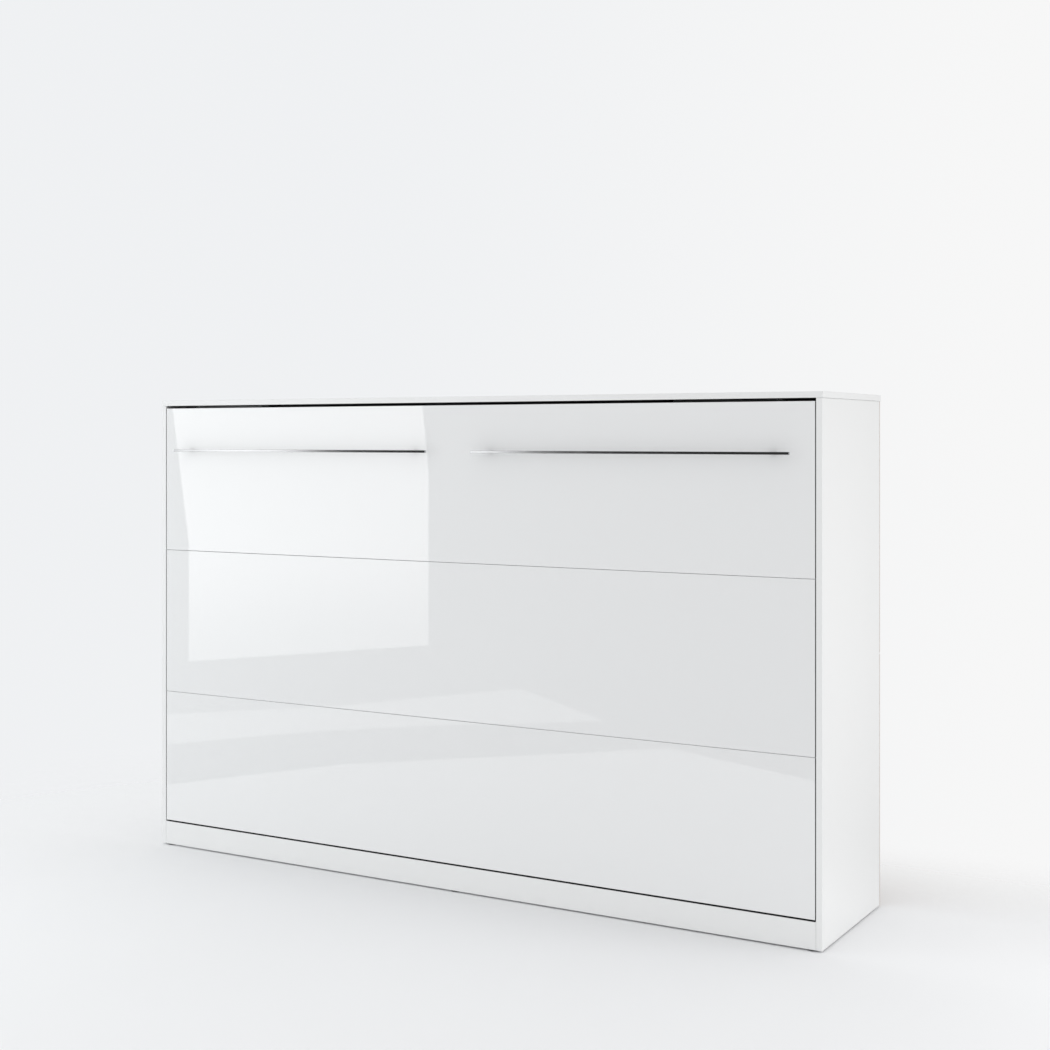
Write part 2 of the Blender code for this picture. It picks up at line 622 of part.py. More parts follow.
def leg_bolt_profile(middle):
    """The shoulder bolt's outline about the middle of the leg: head, shoulder, collar, shank in the rail."""
    head = LEG_THICKNESS / 2 + FIT
    collar_low = FRAME_HIGH + FIT - middle
    tip = FRAME_HIGH - LEG_BOLT_SHANK - middle
    profile = [(0, head + LEG_BOLT_HEAD), (LEG_BOLT_COLLAR, head + LEG_BOLT_HEAD), (LEG_BOLT_COLLAR, head)]
    profile += [(LEG_BOLT_RADIUS, head), (LEG_BOLT_RADIUS, -head), (LEG_BOLT_COLLAR, -head)]
    profile += [(LEG_BOLT_COLLAR, collar_low), (LEG_BOLT_RADIUS, collar_low)]
    profile += [(LEG_BOLT_RADIUS, tip), (0, tip)]
    return profile


def add_struts(cabinet):
    """The gas struts: a bracket on each side panel, and a cylinder and rod from it to the hinge arm."""
    anchor = Vector((STRUT_ANCHOR_BACK, STRUT_ANCHOR_RISE))
    rod_pin = STRUT_ARM * Vector((math.cos(STRUT_ARM_ANGLE), math.sin(STRUT_ARM_ANGLE)))
    run = rod_pin - anchor
    lean = math.atan2(run.x, -run.y)
    for side, label in SIDES:
        place = Vector((side * STRUT_X, FRONT_Y + HINGE_DEPTH + anchor.x, HINGE_Z + anchor.y))
        add_strut_bracket(f"strut_bracket_{label}", cabinet, place, side)
        holder = empty(f"strut_axis_{label}", place, lean)
        add_strut_cylinder(f"strut_cylinder_{label}", holder)
        add_strut_rod(f"strut_rod_{label}", holder, run.length, side)


def add_strut_bracket(name, cabinet, eye, side):
    """A plate on the side panel with the pin through the cylinder's eye."""
    outline = rounded_outline(rectangle(STRUT_BRACKET_SIZE, STRUT_BRACKET_SIZE), ARM_CORNER)
    place = Vector((side * PLATE_X, eye.y, eye.z))
    plate = add(name, prism_mesh(name, outline, PLATE, "X"), cabinet, place)
    paint(plate, ZINC)
    face = PLATE_X - STRUT_X - EYE_WIDTH / 2
    collar, tip = face - FACE_PLAY, face + EYE_WIDTH + FACE_PLAY
    profile = [(0, 0), (2 * STRUT_PIN_RADIUS, 0), (2 * STRUT_PIN_RADIUS, collar)]
    profile += [(STRUT_PIN_RADIUS, collar), (STRUT_PIN_RADIUS, tip), (0, tip)]
    combine(plate, across(f"{name}_pin", profile, cabinet, place, side), "UNION")


def eye_profile(radius):
    """A disc as wide as a strut's eye, about the origin."""
    half = EYE_WIDTH / 2
    return [(0, half), (radius, half), (radius, -half), (0, -half)]


def add_strut_cylinder(name, holder):
    """The cylinder, with its eye on the bracket's pin and its bore open at the rod's end."""
    bore = CYLINDER_RADIUS - CYLINDER_WALL
    guide = ROD_RADIUS + PIN_PLAY
    end = -NECK_LENGTH - 2 * CYLINDER_WALL
    profile = [(0, 0), (NECK_RADIUS, 0), (NECK_RADIUS, -NECK_LENGTH), (CYLINDER_RADIUS, -NECK_LENGTH)]
    profile += [(CYLINDER_RADIUS, -CYLINDER_LENGTH), (guide, -CYLINDER_LENGTH)]
    profile += [(guide, GUIDE_LENGTH - CYLINDER_LENGTH), (bore, GUIDE_LENGTH - CYLINDER_LENGTH), (bore, end)]
    cylinder = add(name, lathe_mesh(name, profile + [(0, end)]), holder, (0.0, 0.0, 0.0))
    paint(cylinder, BLACK_STEEL)
    sideways = (0.0, math.pi / 2, 0.0)
    hole_radius = STRUT_PIN_RADIUS + PIN_PLAY
    hole = [(radius, 2 * height) for radius, height in eye_profile(hole_radius)]
    eye = add(f"{name}_eye", lathe_mesh(f"{name}_eye", eye_profile(EYE_RADIUS)), holder, (0, 0, 0), sideways)
    combine(cylinder, eye, "UNION")
    drill = add(f"{name}_drill", lathe_mesh(f"{name}_drill", hole), holder, (0, 0, 0), sideways)
    combine(cylinder, drill, "DIFFERENCE")


def add_strut_rod(name, holder, length, side):
    """The rod, with its piston in the cylinder and the pin in its end eye, which faces the hinge arm."""
    piston_radius = CYLINDER_RADIUS - CYLINDER_WALL - PIN_PLAY
    piston_low = length - CYLINDER_LENGTH + GUIDE_LENGTH + PISTON_REST
    piston_high = piston_low + PISTON_LENGTH
    profile = [(0, 0), (ROD_RADIUS, 0), (ROD_RADIUS, piston_low), (piston_radius, piston_low)]
    profile += [(piston_radius, piston_high), (0, piston_high)]
    pin_place = (0.0, 0.0, -length)
    rod = add(name, lathe_mesh(name, profile), holder, pin_place)
    paint(rod, CHROME)
    turn = (0.0, -side * math.pi / 2, 0.0)
    eye = add(f"{name}_eye", lathe_mesh(f"{name}_eye", eye_profile(EYE_RADIUS)), holder, pin_place, turn)
    combine(rod, eye, "UNION")
    reach = STRUT_X - ARM_X - PLATE / 2 - FACE_PLAY
    pin_profile = [(0, 0), (STRUT_PIN_RADIUS, 0), (STRUT_PIN_RADIUS, reach), (0, reach)]
    pin = add(f"{name}_pin", lathe_mesh(f"{name}_pin", pin_profile), holder, pin_place, turn)
    combine(rod, pin, "UNION")


def main():
    """Builds the folded bed in an empty scene."""
    for obj in list(bpy.data.objects):
        bpy.data.objects.remove(obj, do_unlink=True)
    cabinet = empty("cabinet_frame", (0.0, 0.0, 0.0))
    leaf = empty("bed_fold_axis", (0.0, FRONT_Y + HINGE_DEPTH, HINGE_Z))
    add_carcass(cabinet)
    add_glides(cabinet)
    add_wall_brackets(cabinet)
    add_bumpers(cabinet)
    add_hinge_plates(cabinet)
    seams = add_front_boards(leaf)
    add_handles(leaf)
    add_bed_frame(leaf, seams)
    add_slats(leaf)
    add_mattress(leaf)
    add_hinge_arms(leaf)
    add_legs(leaf)
    add_struts(cabinet)


if __name__ == "__main__":
    main()
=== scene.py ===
"""Dresses a horizontal wall bed in its white cabinet, and sets up the studio that it stands in.

Lengths are in metres. +Z is up, +X runs along the cabinet and +Y points towards the wall behind it.
"""

import json
import logging
import math
from collections.abc import Mapping, Sequence
from dataclasses import dataclass
from enum import Enum
from typing import Any

import bpy
import numpy as np
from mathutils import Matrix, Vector
from mathutils.bvhtree import BVHTree


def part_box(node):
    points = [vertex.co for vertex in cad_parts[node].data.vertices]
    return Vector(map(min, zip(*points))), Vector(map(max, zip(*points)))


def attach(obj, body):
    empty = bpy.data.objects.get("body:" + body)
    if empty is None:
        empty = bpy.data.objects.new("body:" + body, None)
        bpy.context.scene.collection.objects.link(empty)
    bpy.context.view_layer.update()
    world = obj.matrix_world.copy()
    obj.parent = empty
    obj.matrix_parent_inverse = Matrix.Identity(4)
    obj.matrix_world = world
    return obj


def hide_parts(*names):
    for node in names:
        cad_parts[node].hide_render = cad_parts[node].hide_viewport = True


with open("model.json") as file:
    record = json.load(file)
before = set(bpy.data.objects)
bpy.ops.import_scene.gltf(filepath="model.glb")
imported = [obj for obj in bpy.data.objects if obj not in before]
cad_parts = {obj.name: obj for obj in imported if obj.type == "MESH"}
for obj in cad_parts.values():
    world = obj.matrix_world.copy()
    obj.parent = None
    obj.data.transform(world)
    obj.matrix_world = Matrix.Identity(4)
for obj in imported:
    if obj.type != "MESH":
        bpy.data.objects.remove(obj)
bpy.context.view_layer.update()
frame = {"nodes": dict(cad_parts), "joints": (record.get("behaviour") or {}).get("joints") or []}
LOG = logging.getLogger("wall_bed")

Colour = tuple[float, float, float]
Point = tuple[float, float, float]


class Side(Enum):
    """The two ends of the bed. A member's value is the sign of X there."""

    LEFT = -1
    RIGHT = 1

    @property
    def label(self) -> str:
        """The side's word in the names of pieces."""
        return self.name.lower()


class Axis(Enum):
    """The directions of the frame. A member's value is its index in a point."""

    X = 0
    Y = 1
    Z = 2


class Slot(Enum):
    """The record's material slots, listed for reference; no piece here takes its finish from them."""

    ZINC = "zinc_steel"
    GREY_STEEL = "grey_painted_steel"
    DARK_PLASTIC = "glide_plastic"
    RUBBER = "black_rubber"
    FABRIC = "mattress_fabric"
    WEBBING = "strap_webbing"


# Surfaces


@dataclass
class Patch:
    """A piece of surface: its points, its four- and three-sided faces, and numbers kept at its points."""

    points: np.ndarray
    quads: np.ndarray
    triangles: np.ndarray
    fields: dict[str, np.ndarray]

    def facing_out(self) -> "Patch":
        """Turns all faces round where the tetrahedra from them to the origin add up to less than nothing.

        Returns:
            This patch, or one with its faces turned.
        """
        corners = np.concatenate([self.quads[:, :3], self.quads[:, [0, 2, 3]], self.triangles])
        middle = self.points.mean(axis=0)
        first, second, third = (self.points[corners[:, k]] - middle for k in range(3))
        if np.einsum("ij,ij->i", first, np.cross(second, third)).sum() >= 0:
            return self
        return Patch(self.points, self.quads[:, ::-1], self.triangles[:, ::-1], self.fields)

    def faces(self) -> list[list[int]]:
        """All faces, as lists of point numbers."""
        return self.quads.tolist() + self.triangles.tolist()


def ring_quads(rows: int, columns: int, joined: bool) -> np.ndarray:
    """Lists the faces between neighbouring rings of points, which are numbered ring by ring.

    Args:
        rows: how many rings there are.
        columns: how many points a ring has.
        joined: whether the last ring meets the first.

    Returns:
        An array of four point numbers a face.
    """
    row = np.arange(rows if joined else rows - 1)[:, None]
    column = np.arange(columns)[None, :]
    following = (column + 1) % columns
    here, after = row * columns, (row + 1) % rows * columns
    return np.stack([here + column, here + following, after + following, after + column], -1).reshape(-1, 4)


def loft(rings: np.ndarray, joined: bool = False, fields: Mapping[str, np.ndarray] | None = None) -> Patch:
    """Skins a run of closed rings of points. Unless joined, each end is shut by a fan to its middle.

    Args:
        rings: the points, indexed by ring, place in the ring, and X, Y, Z.
        joined: whether the last ring meets the first.
        fields: numbers to keep at the points, one a ring.

    Returns:
        A closed patch that faces out.
    """
    rows, columns = rings.shape[:2]
    points = rings.reshape(-1, 3)
    spread = {name: np.repeat(values, columns) for name, values in (fields or {}).items()}
    fans = np.zeros((0, 3), int)
    if not joined:
        points = np.vstack([points, rings[0].mean(axis=0), rings[-1].mean(axis=0)])
        spread = {name: np.append(values, [values[0], values[-1]]) for name, values in spread.items()}
        place = np.arange(columns)
        following = (place + 1) % columns
        last, hub = (rows - 1) * columns, rows * columns
        first_fan = np.stack([np.full(columns, hub), following, place], -1)
        last_fan = np.stack([np.full(columns, hub + 1), last + place, last + following], -1)
        fans = np.vstack([first_fan, last_fan])
    return Patch(points, ring_quads(rows, columns, joined), fans, spread).facing_out()


def gather(patches: Sequence[Patch]) -> Patch:
    """Puts patches into one, without joining them to each other.

    Args:
        patches: patches with the same fields.

    Returns:
        One patch that holds them all.
    """
    starts = np.cumsum([0] + [len(patch.points) for patch in patches[:-1]])
    return Patch(
        np.vstack([patch.points for patch in patches]),
        np.vstack([patch.quads + start for patch, start in zip(patches, starts)]),
        np.vstack([patch.triangles + start for patch, start in zip(patches, starts)]),
        {name: np.concatenate([patch.fields[name] for patch in patches]) for name in patches[0].fields},
    )


def circle(sides: int) -> np.ndarray:
    """The points of a unit circle: the cosine and sine of even steps of a turn."""
    angle = np.arange(sides) * math.tau / sides
    return np.stack([np.cos(angle), np.sin(angle)], -1)


def distances(path: np.ndarray) -> np.ndarray:
    """How far each point of a path lies along it: the sum of the steps before it."""
    return np.concatenate([[0], np.cumsum(np.linalg.norm(np.diff(path, axis=0), axis=1))])


def basis(outward: Sequence[float]) -> np.ndarray:
    """Finds three directions at right angles, the last of them outward.

    Args:
        outward: the direction that a small piece faces.

    Returns:
        The directions as the rows of an array.
    """
    third = np.array(outward, float) / np.linalg.norm(outward)
    helper = np.eye(3)[np.argmin(np.abs(third))]
    first = np.cross(helper, third)
    first /= np.linalg.norm(first)
    return np.stack([first, np.cross(third, first), third])


def rounded_rectangle(width: float, height: float, radius: float, steps: int = 4) -> np.ndarray:
    """Draws a rectangle about the origin with a quarter circle at each corner.

    Args:
        width: the size along the first direction.
        height: the size along the second.
        radius: the corners' radius.
        steps: the sides of each quarter circle.

    Returns:
        The outline, one point a row.
    """
    angle = np.linspace(0, math.pi / 2, steps + 1)[None, :] + np.arange(4)[:, None] * math.pi / 2
    corner = np.array([[1, 1], [-1, 1], [-1, -1], [1, -1]]) * (width / 2 - radius, height / 2 - radius)
    arcs = radius * np.stack([np.cos(angle), np.sin(angle)], -1)
    return (corner[:, None, :] + arcs).reshape(-1, 2)


def turned(
    profile: Sequence[tuple[float, float]], place: Sequence[float], outward: Sequence[float],
    segments: int = 24, joined: bool = False,
) -> Patch:
    """Turns a profile about a line through a place.

    Args:
        profile: points as (distance from the line, height along it).
        place: where the profile's height is nothing.
        outward: the line's direction.
        segments: how many sides a ring has.
        joined: whether the profile is a closed loop, as a ring's is.

    Returns:
        A closed patch.
    """
    radius, height = np.array(profile, float).T[:, :, None, None]
    directions = basis(outward)
    spokes = circle(segments) @ directions[:2]
    return loft(np.array(place) + radius * spokes + height * directions[2], joined)


def swept(
    profile: np.ndarray, path: np.ndarray, across: Sequence[float], joined: bool = False,
    fields: Mapping[str, np.ndarray] | None = None,
) -> Patch:
    """Carries a profile along a path that lies in the plane square to one direction.

    Args:
        profile: points as (along that direction, outwards from the path).
        path: the path's points.
        across: the direction that the path's plane is square to.
        joined: whether the path is a loop.
        fields: numbers to keep at the points, one for each point of the path.

    Returns:
        A closed patch.
    """
    before, after = np.roll(path, 1, 0), np.roll(path, -1, 0)
    if not joined:
        before[0], after[-1] = path[0], path[-1]
    along = after - before
    along /= np.linalg.norm(along, axis=1, keepdims=True)
    outwards = np.cross(along, across)
    offsets = profile[None, :, :1] * np.array(across, float) + profile[None, :, 1:] * outwards[:, None]
    return loft(path[:, None] + offsets, joined, fields)


def stepped(
    size: tuple[float, float], levels: Sequence[tuple[float, float, float, float]],
    place: Sequence[float], directions: np.ndarray, lean: float = 0.0,
) -> Patch:
    """Stacks rounded rectangles that grow and shrink from level to level, as a plug or a cap does.

    Args:
        size: the rectangle's size along the first two directions.
        levels: for each ring its height, how far it grows on each side both ways, and its corners' radius.
        place: where the height is nothing.
        directions: three directions as rows, the last of them up the stack.
        lean: how far the stack moves along the second direction for each unit of height.

    Returns:
        A closed patch.
    """
    rings = []
    for height, first, second, corner in levels:
        outline = rounded_rectangle(size[0] + 2 * first, size[1] + 2 * second, corner)
        rise = height * (directions[2] + lean * directions[1])
        rings.append(np.array(place) + outline @ directions[:2] + rise)
    return loft(np.array(rings))


def add_object(name: str, points: Any, faces: Sequence[Sequence[int]]) -> bpy.types.Object:
    """Makes a mesh object at the origin and puts it in the scene.

    Args:
        name: its name.
        points: its points.
        faces: the numbers of each face's points.

    Returns:
        The object.
    """
    mesh = bpy.data.meshes.new(name)
    mesh.from_pydata(np.array(points, float).tolist(), [], faces)
    made = bpy.data.objects.new(name, mesh)
    bpy.context.scene.collection.objects.link(made)
    return made


def make_piece(
    name: str, patch: Patch, material: bpy.types.Material, body: str, crease: float = 35.0,
) -> bpy.types.Object:
    """Makes a patch into a piece that rides on a body.

    Args:
        name: the piece's name.
        patch: its surface, in place.
        material: its material.
        body: the body that it moves with.
        crease: the angle in degrees past which an edge stays sharp.

    Returns:
        The piece.
    """
    piece = add_object(name, patch.points, patch.faces())
    mesh = piece.data
    for field_name, values in patch.fields.items():
        field = mesh.attributes.new(field_name, "FLOAT", "POINT")
        field.data.foreach_set("value", values.astype(np.float32))
    mesh.shade_smooth()
    mesh.set_sharp_from_angle(angle=math.radians(crease))
    mesh.materials.append(material)
    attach(piece, body)
    LOG.info("%s: %d faces on %s", name, len(mesh.polygons), body)
    return piece


# Materials


class Value:
    """What a node gives. Arithmetic on it adds Math nodes."""

    def __init__(self, graph: "Graph", socket: bpy.types.NodeSocket) -> None:
        """Keeps the socket and the graph that it belongs to."""
        self.graph = graph
        self.socket = socket

    def math(self, operation: str, *terms: "Value | float") -> "Value":
        """Adds a Math node on the given terms."""
        return self.graph.node("ShaderNodeMath", {"operation": operation}, dict(enumerate(terms)))

    def __add__(self, other: "Value | float") -> "Value":
        """The sum."""
        return self.math("ADD", self, other)

    def __sub__(self, other: "Value | float") -> "Value":
        """The difference."""
        return self.math("SUBTRACT", self, other)

    def __rsub__(self, other: float) -> "Value":
        """The difference from a plain number."""
        return self.math("SUBTRACT", other, self)

    def __mul__(self, other: "Value | float") -> "Value":
        """The product."""
        return self.math("MULTIPLY", self, other)

    def __truediv__(self, other: "Value | float") -> "Value":
        """The quotient."""
        return self.math("DIVIDE", self, other)

    def __pow__(self, other: float) -> "Value":
        """A power of the size of the value."""
        return self.math("POWER", abs(self), other)

    def __mod__(self, other: float) -> "Value":
        """What is left over each whole number of times."""
        return self.math("FLOORED_MODULO", self, other)

    def __abs__(self) -> "Value":
        """The size of the value."""
        return self.math("ABSOLUTE", self)

    __radd__ = __add__
    __rmul__ = __mul__

    def least(self, other: "Value | float") -> "Value":
        """The lesser of the two."""
        return self.math("MINIMUM", self, other)

    def most(self, other: "Value | float") -> "Value":
        """The greater of the two."""
        return self.math("MAXIMUM", self, other)

    def sine(self) -> "Value":
        """The sine."""
        return self.math("SINE", self)

    def step(self, low: float, high: float) -> "Value":
        """Rises smoothly from 0 at low to 1 at high, or falls from 1 where high is the lesser.

        Args:
            low: where the result is 0.
            high: where it is 1.

        Returns:
            The mask.
        """
        share = {"Value": self, "From Min": low, "From Max": high}
        return self.graph.node("ShaderNodeMapRange", {"interpolation_type": "SMOOTHSTEP"}, share)


class Graph:
    """The nodes of one material, world or light."""

    def __init__(self, tree: bpy.types.NodeTree) -> None:
        """Keeps the node tree."""
        self.tree = tree

    def node(
        self, kind: str, settings: Mapping[str, Any] | None = None,
        inputs: Mapping[int | str, Any] | None = None, output: int | str = 0,
    ) -> Value:
        """Adds a node.

        Args:
            kind: the node's type.
            settings: its properties, and its ramp's stops as (place, colour) pairs under "stops".
            inputs: a number, a colour or a Value for each socket that is used.
            output: which of its outputs is wanted.

        Returns:
            That output.
        """
        made = self.tree.nodes.new(kind)
        for name, setting in (settings or {}).items():
            if name == "stops":
                self._set_stops(made.color_ramp, setting)
            else:
                setattr(made, name, setting)
        for key, value in (inputs or {}).items():
            self.feed(made.inputs[key], value)
        return Value(self, made.outputs[output])

    def feed(self, socket: bpy.types.NodeSocket, value: Any) -> None:
        """Links a Value to a socket, or sets the socket to a number or colour.

        Args:
            socket: the input.
            value: what it gets.
        """
        if isinstance(value, Value):
            self.tree.links.new(value.socket, socket)
        elif socket.type == "RGBA":
            socket.default_value = (*value, 1.0)
        else:
            socket.default_value = value

    @staticmethod
    def _set_stops(ramp: bpy.types.ColorRamp, stops: Sequence[tuple[float, Colour]]) -> None:
        """Gives a ramp its stops.

        Args:
            ramp: a new ramp, which has two.
            stops: the places and colours.
        """
        for _ in stops[2:]:
            ramp.elements.new(0.5)
        for element, (place, colour) in zip(ramp.elements, stops):
            element.position = place
            element.color = (*colour, 1.0)

    def place(self) -> Value:
        """The point's place in the object, as a vector."""
        return self.node("ShaderNodeTexCoord", output="Object")

    def part(self, axis: Axis) -> Value:
        """One coordinate of the point's place."""
        return self.node("ShaderNodeSeparateXYZ", inputs={0: self.place()}, output=axis.value)

    def field(self, name: str) -> Value:
        """A number kept at the piece's points."""
        return self.node("ShaderNodeAttribute", {"attribute_name": name}, output="Fac")

    def noise(self, grain: float, detail: float = 2.0, stretch: Point = (1.0, 1.0, 1.0)) -> Value:
        """Cloudy values about a half.

        Args:
            grain: the size of a cloud.
            detail: how many finer layers it has.
            stretch: how many times longer it is along each axis.

        Returns:
            The values.
        """
        scale = tuple(1 / (grain * along) for along in stretch)
        spread = self.node("ShaderNodeMapping", inputs={"Vector": self.place(), "Scale": scale})
        return self.node("ShaderNodeTexNoise", inputs={"Vector": spread, "Scale": 1.0, "Detail": detail})

    def mix(self, share: "Value | float", first: "Value | Colour", second: "Value | Colour") -> Value:
        """Blends two colours by a share of the second."""
        return self.node("ShaderNodeMix", {"data_type": "RGBA"}, {0: share, 6: first, 7: second}, 2)

    def bump(self, height: Value, distance: float, strength: float = 1.0) -> Value:
        """Surface normals for a relief whose height runs from 0 to 1 over a distance."""
        relief = {"Height": height, "Distance": distance, "Strength": strength}
        return self.node("ShaderNodeBump", inputs=relief)


@dataclass(frozen=True)
class Finish:
    """What every finish shares: its colour, and how rough and how metallic it is."""

    name: str
    colour: Colour
    roughness: float
    metallic: float = 0.0

    def material(self) -> bpy.types.Material:
        """Builds the finish's material.

        Returns:
            A material with a Principled shader.
        """
        material = bpy.data.materials.new(self.name)
        material.use_nodes = True
        shader = material.node_tree.nodes["Principled BSDF"]
        graph = Graph(material.node_tree)
        shared = {"Base Color": self.colour, "Roughness": self.roughness, "Metallic": self.metallic}
        for key, value in (shared | self.dress(graph)).items():
            graph.feed(shader.inputs[key], value)
        return material

    def dress(self, graph: Graph) -> dict[str, Any]:
        """The shader's inputs that this finish sets or varies."""
        return {}

    def clouded(self, graph: Graph, grain: float, amount: float) -> Value:
        """The roughness with soft clouds of more and less."""
        return graph.noise(grain) * amount + (self.roughness - amount / 2)


@dataclass(frozen=True)
class Board(Finish):
    """A coated board whose narrow sides carry an edge band of their own thickness."""

    low: Point = (0.0, 0.0, 0.0)
    high: Point = (0.0, 0.0, 0.0)
    band: float = 0.0008
    glue_line: float = 0.00025
    glue_colour: Colour = (0.60, 0.59, 0.57)
    grain: float = 0.0011
    relief: float = 0.00003

    def glue(self, graph: Graph) -> Value:
        """Finds the glue line between a board's face and its edge band.

        Args:
            graph: the material's nodes.

        Returns:
            A mask that is 1 on the line, which runs round the board one band in from its outline.
        """
        sizes = np.array(self.high) - np.array(self.low)
        inset = None
        for axis in Axis:
            if axis.value == int(np.argmin(sizes)):
                continue
            low, high = self.low[axis.value], self.high[axis.value]
            from_edge = (high - low) / 2 - abs(graph.part(axis) - (low + high) / 2)
            inset = from_edge if inset is None else inset.least(from_edge)
        off_line = abs(inset - (self.band + self.glue_line / 2))
        return off_line.step(self.glue_line, self.glue_line / 2)

    def dress(self, graph: Graph) -> dict[str, Any]:
        """Adds the pearl texture of melamine, the glue lines and a soft unevenness."""
        tone = graph.noise(0.35) * 0.012 + 0.994
        shade = graph.node("ShaderNodeVectorMath", {"operation": "SCALE"}, {0: self.colour, "Scale": tone})
        return {
            "Base Color": graph.mix(self.glue(graph) * 0.5, shade, self.glue_colour),
            "Roughness": self.clouded(graph, 0.004, 0.08),
            "Normal": graph.bump(graph.noise(self.grain, 3.0), self.relief),
        }


@dataclass(frozen=True)
class GlossBoard(Board):
    """A board with a clear gloss face in front and a matt back."""

    face_depth: float = 0.0015
    gloss: float = 0.012
    peel: float = 0.010
    peel_relief: float = 0.000006

    def dress(self, graph: Graph) -> dict[str, Any]:
        """Adds the gloss face's coat, with the faint waves that lacquer dries with."""
        face = graph.part(Axis.Y).step(self.low[1] + self.face_depth, self.low[1] + self.face_depth / 2)
        waves = graph.noise(self.peel, 1.0) * face
        fine = graph.noise(self.grain) * (1 - face)
        height = waves * (self.peel_relief / self.relief) + fine
        return {
            "Base Color": graph.mix(self.glue(graph) * (1 - face) * 0.5, self.colour, self.glue_colour),
            "Roughness": face * (self.gloss - self.roughness) + self.roughness,
            "Coat Weight": face * 0.25,
            "Coat Roughness": self.gloss,
            "Normal": graph.bump(height, self.relief),
        }


@dataclass(frozen=True)
class FibreSheet(Finish):
    """Thin fibre board, painted white inside and raw brown towards the wall."""

    inner_face: float = 0.0
    raw: Colour = (0.27, 0.165, 0.085)
    flecks: Colour = (0.42, 0.29, 0.17)

    def dress(self, graph: Graph) -> dict[str, Any]:
        """Adds the raw side with its pressed fibres, past the painted face."""
        raw = graph.part(Axis.Y).step(self.inner_face, self.inner_face + 0.0002)
        fibres = graph.noise(0.0016, 4.0, (5.0, 1.0, 1.0)).step(0.52, 0.72)
        clouds = graph.noise(0.12, 3.0)
        brown = graph.mix(clouds * 0.35, self.raw, (0.20, 0.115, 0.06))
        brown = graph.mix(fibres * 0.55, brown, self.flecks)
        return {
            "Base Color": graph.mix(raw, self.colour, brown),
            "Roughness": self.clouded(graph, 0.02, 0.10) + raw * 0.12,
            "Normal": graph.bump(graph.noise(0.0012, 4.0, (3.0, 1.0, 1.0)), 0.00006),
        }


@dataclass(frozen=True)
class Moulded(Finish):
    """Moulded plastic or rubber, with a spark-eroded grain."""

    grain: float = 0.0007
    relief: float = 0.00004

    def dress(self, graph: Graph) -> dict[str, Any]:
        """Adds the grain and a little wear in the shine and tone."""
        wear = graph.noise(0.018, 3.0)
        lighter = tuple(part * 1.04 + 0.006 for part in self.colour)
        return {
            "Base Color": graph.mix(wear.step(0.45, 0.75) * 0.5, self.colour, lighter),
            "Roughness": self.clouded(graph, 0.012, 0.14),
            "Normal": graph.bump(graph.noise(self.grain, 3.0), self.relief),
        }


@dataclass(frozen=True)
class Plated(Finish):
    """Bright zinc on pressed steel, faintly mottled and rolled along one direction."""

    rolled: Point = (1.0, 1.0, 30.0)

    def dress(self, graph: Graph) -> dict[str, Any]:
        """Adds the mottle of the zinc and the fine lines of the rolled sheet."""
        mottle = graph.noise(0.009, 3.0)
        tint = graph.mix(mottle.step(0.35, 0.65), self.colour, (0.70, 0.71, 0.70))
        tint = graph.mix(graph.noise(0.03).step(0.55, 0.75) * 0.35, tint, (0.62, 0.60, 0.54))
        return {
            "Base Color": tint,
            "Roughness": self.clouded(graph, 0.006, 0.16),
            "Normal": graph.bump(graph.noise(0.0009, 2.0, self.rolled), 0.00003),
        }


@dataclass(frozen=True)
class Polished(Finish):
    """Chrome plate with the faint haze that hands and wiping leave."""

    drawn: Point = (40.0, 1.0, 1.0)

    def dress(self, graph: Graph) -> dict[str, Any]:
        """Adds the haze and the last lines of the polishing."""
        haze = graph.noise(0.05, 4.0).step(0.5, 0.8)
        return {
            "Roughness": haze * 0.06 + self.roughness,
            "Normal": graph.bump(graph.noise(0.0005, 1.0, self.drawn), 0.000002),
        }


@dataclass(frozen=True)
class CrownedBar(Polished):
    """Polished flat bar that is crowned a little along its length, as drawn strip is."""

    middle: float = 0.0
    crown: float = 0.15
    lean: float = 0.0

    def dress(self, graph: Graph) -> dict[str, Any]:
        """Turns the normal with X: by the lean at the bar's middle, and by the crown for each metre."""
        turn = (graph.part(Axis.X) - self.middle) * self.crown + self.lean
        aside = graph.node("ShaderNodeCombineXYZ", inputs={0: turn})
        normal = graph.node("ShaderNodeNewGeometry", output="Normal")
        added = graph.node("ShaderNodeVectorMath", {"operation": "ADD"}, {0: normal, 1: aside})
        bent = graph.node("ShaderNodeVectorMath", {"operation": "NORMALIZE"}, {0: added})
        return super().dress(graph) | {"Normal": bent}


@dataclass(frozen=True)
class PowderCoat(Finish):
    """Baked powder paint with its fine pebbled skin."""

    pebble: float = 0.0013
    relief: float = 0.00005

    def dress(self, graph: Graph) -> dict[str, Any]:
        """Adds the pebbled skin and a slight change of shine."""
        lighter = tuple(part * 1.12 + 0.004 for part in self.colour)
        return {
            "Base Color": graph.mix(graph.noise(0.09, 3.0).step(0.4, 0.7), self.colour, lighter),
            "Roughness": self.clouded(graph, 0.02, 0.10),
            "Coat Weight": 0.12,
            "Coat Roughness": 0.30,
            "Normal": graph.bump(graph.noise(self.pebble, 2.0), self.relief),
        }


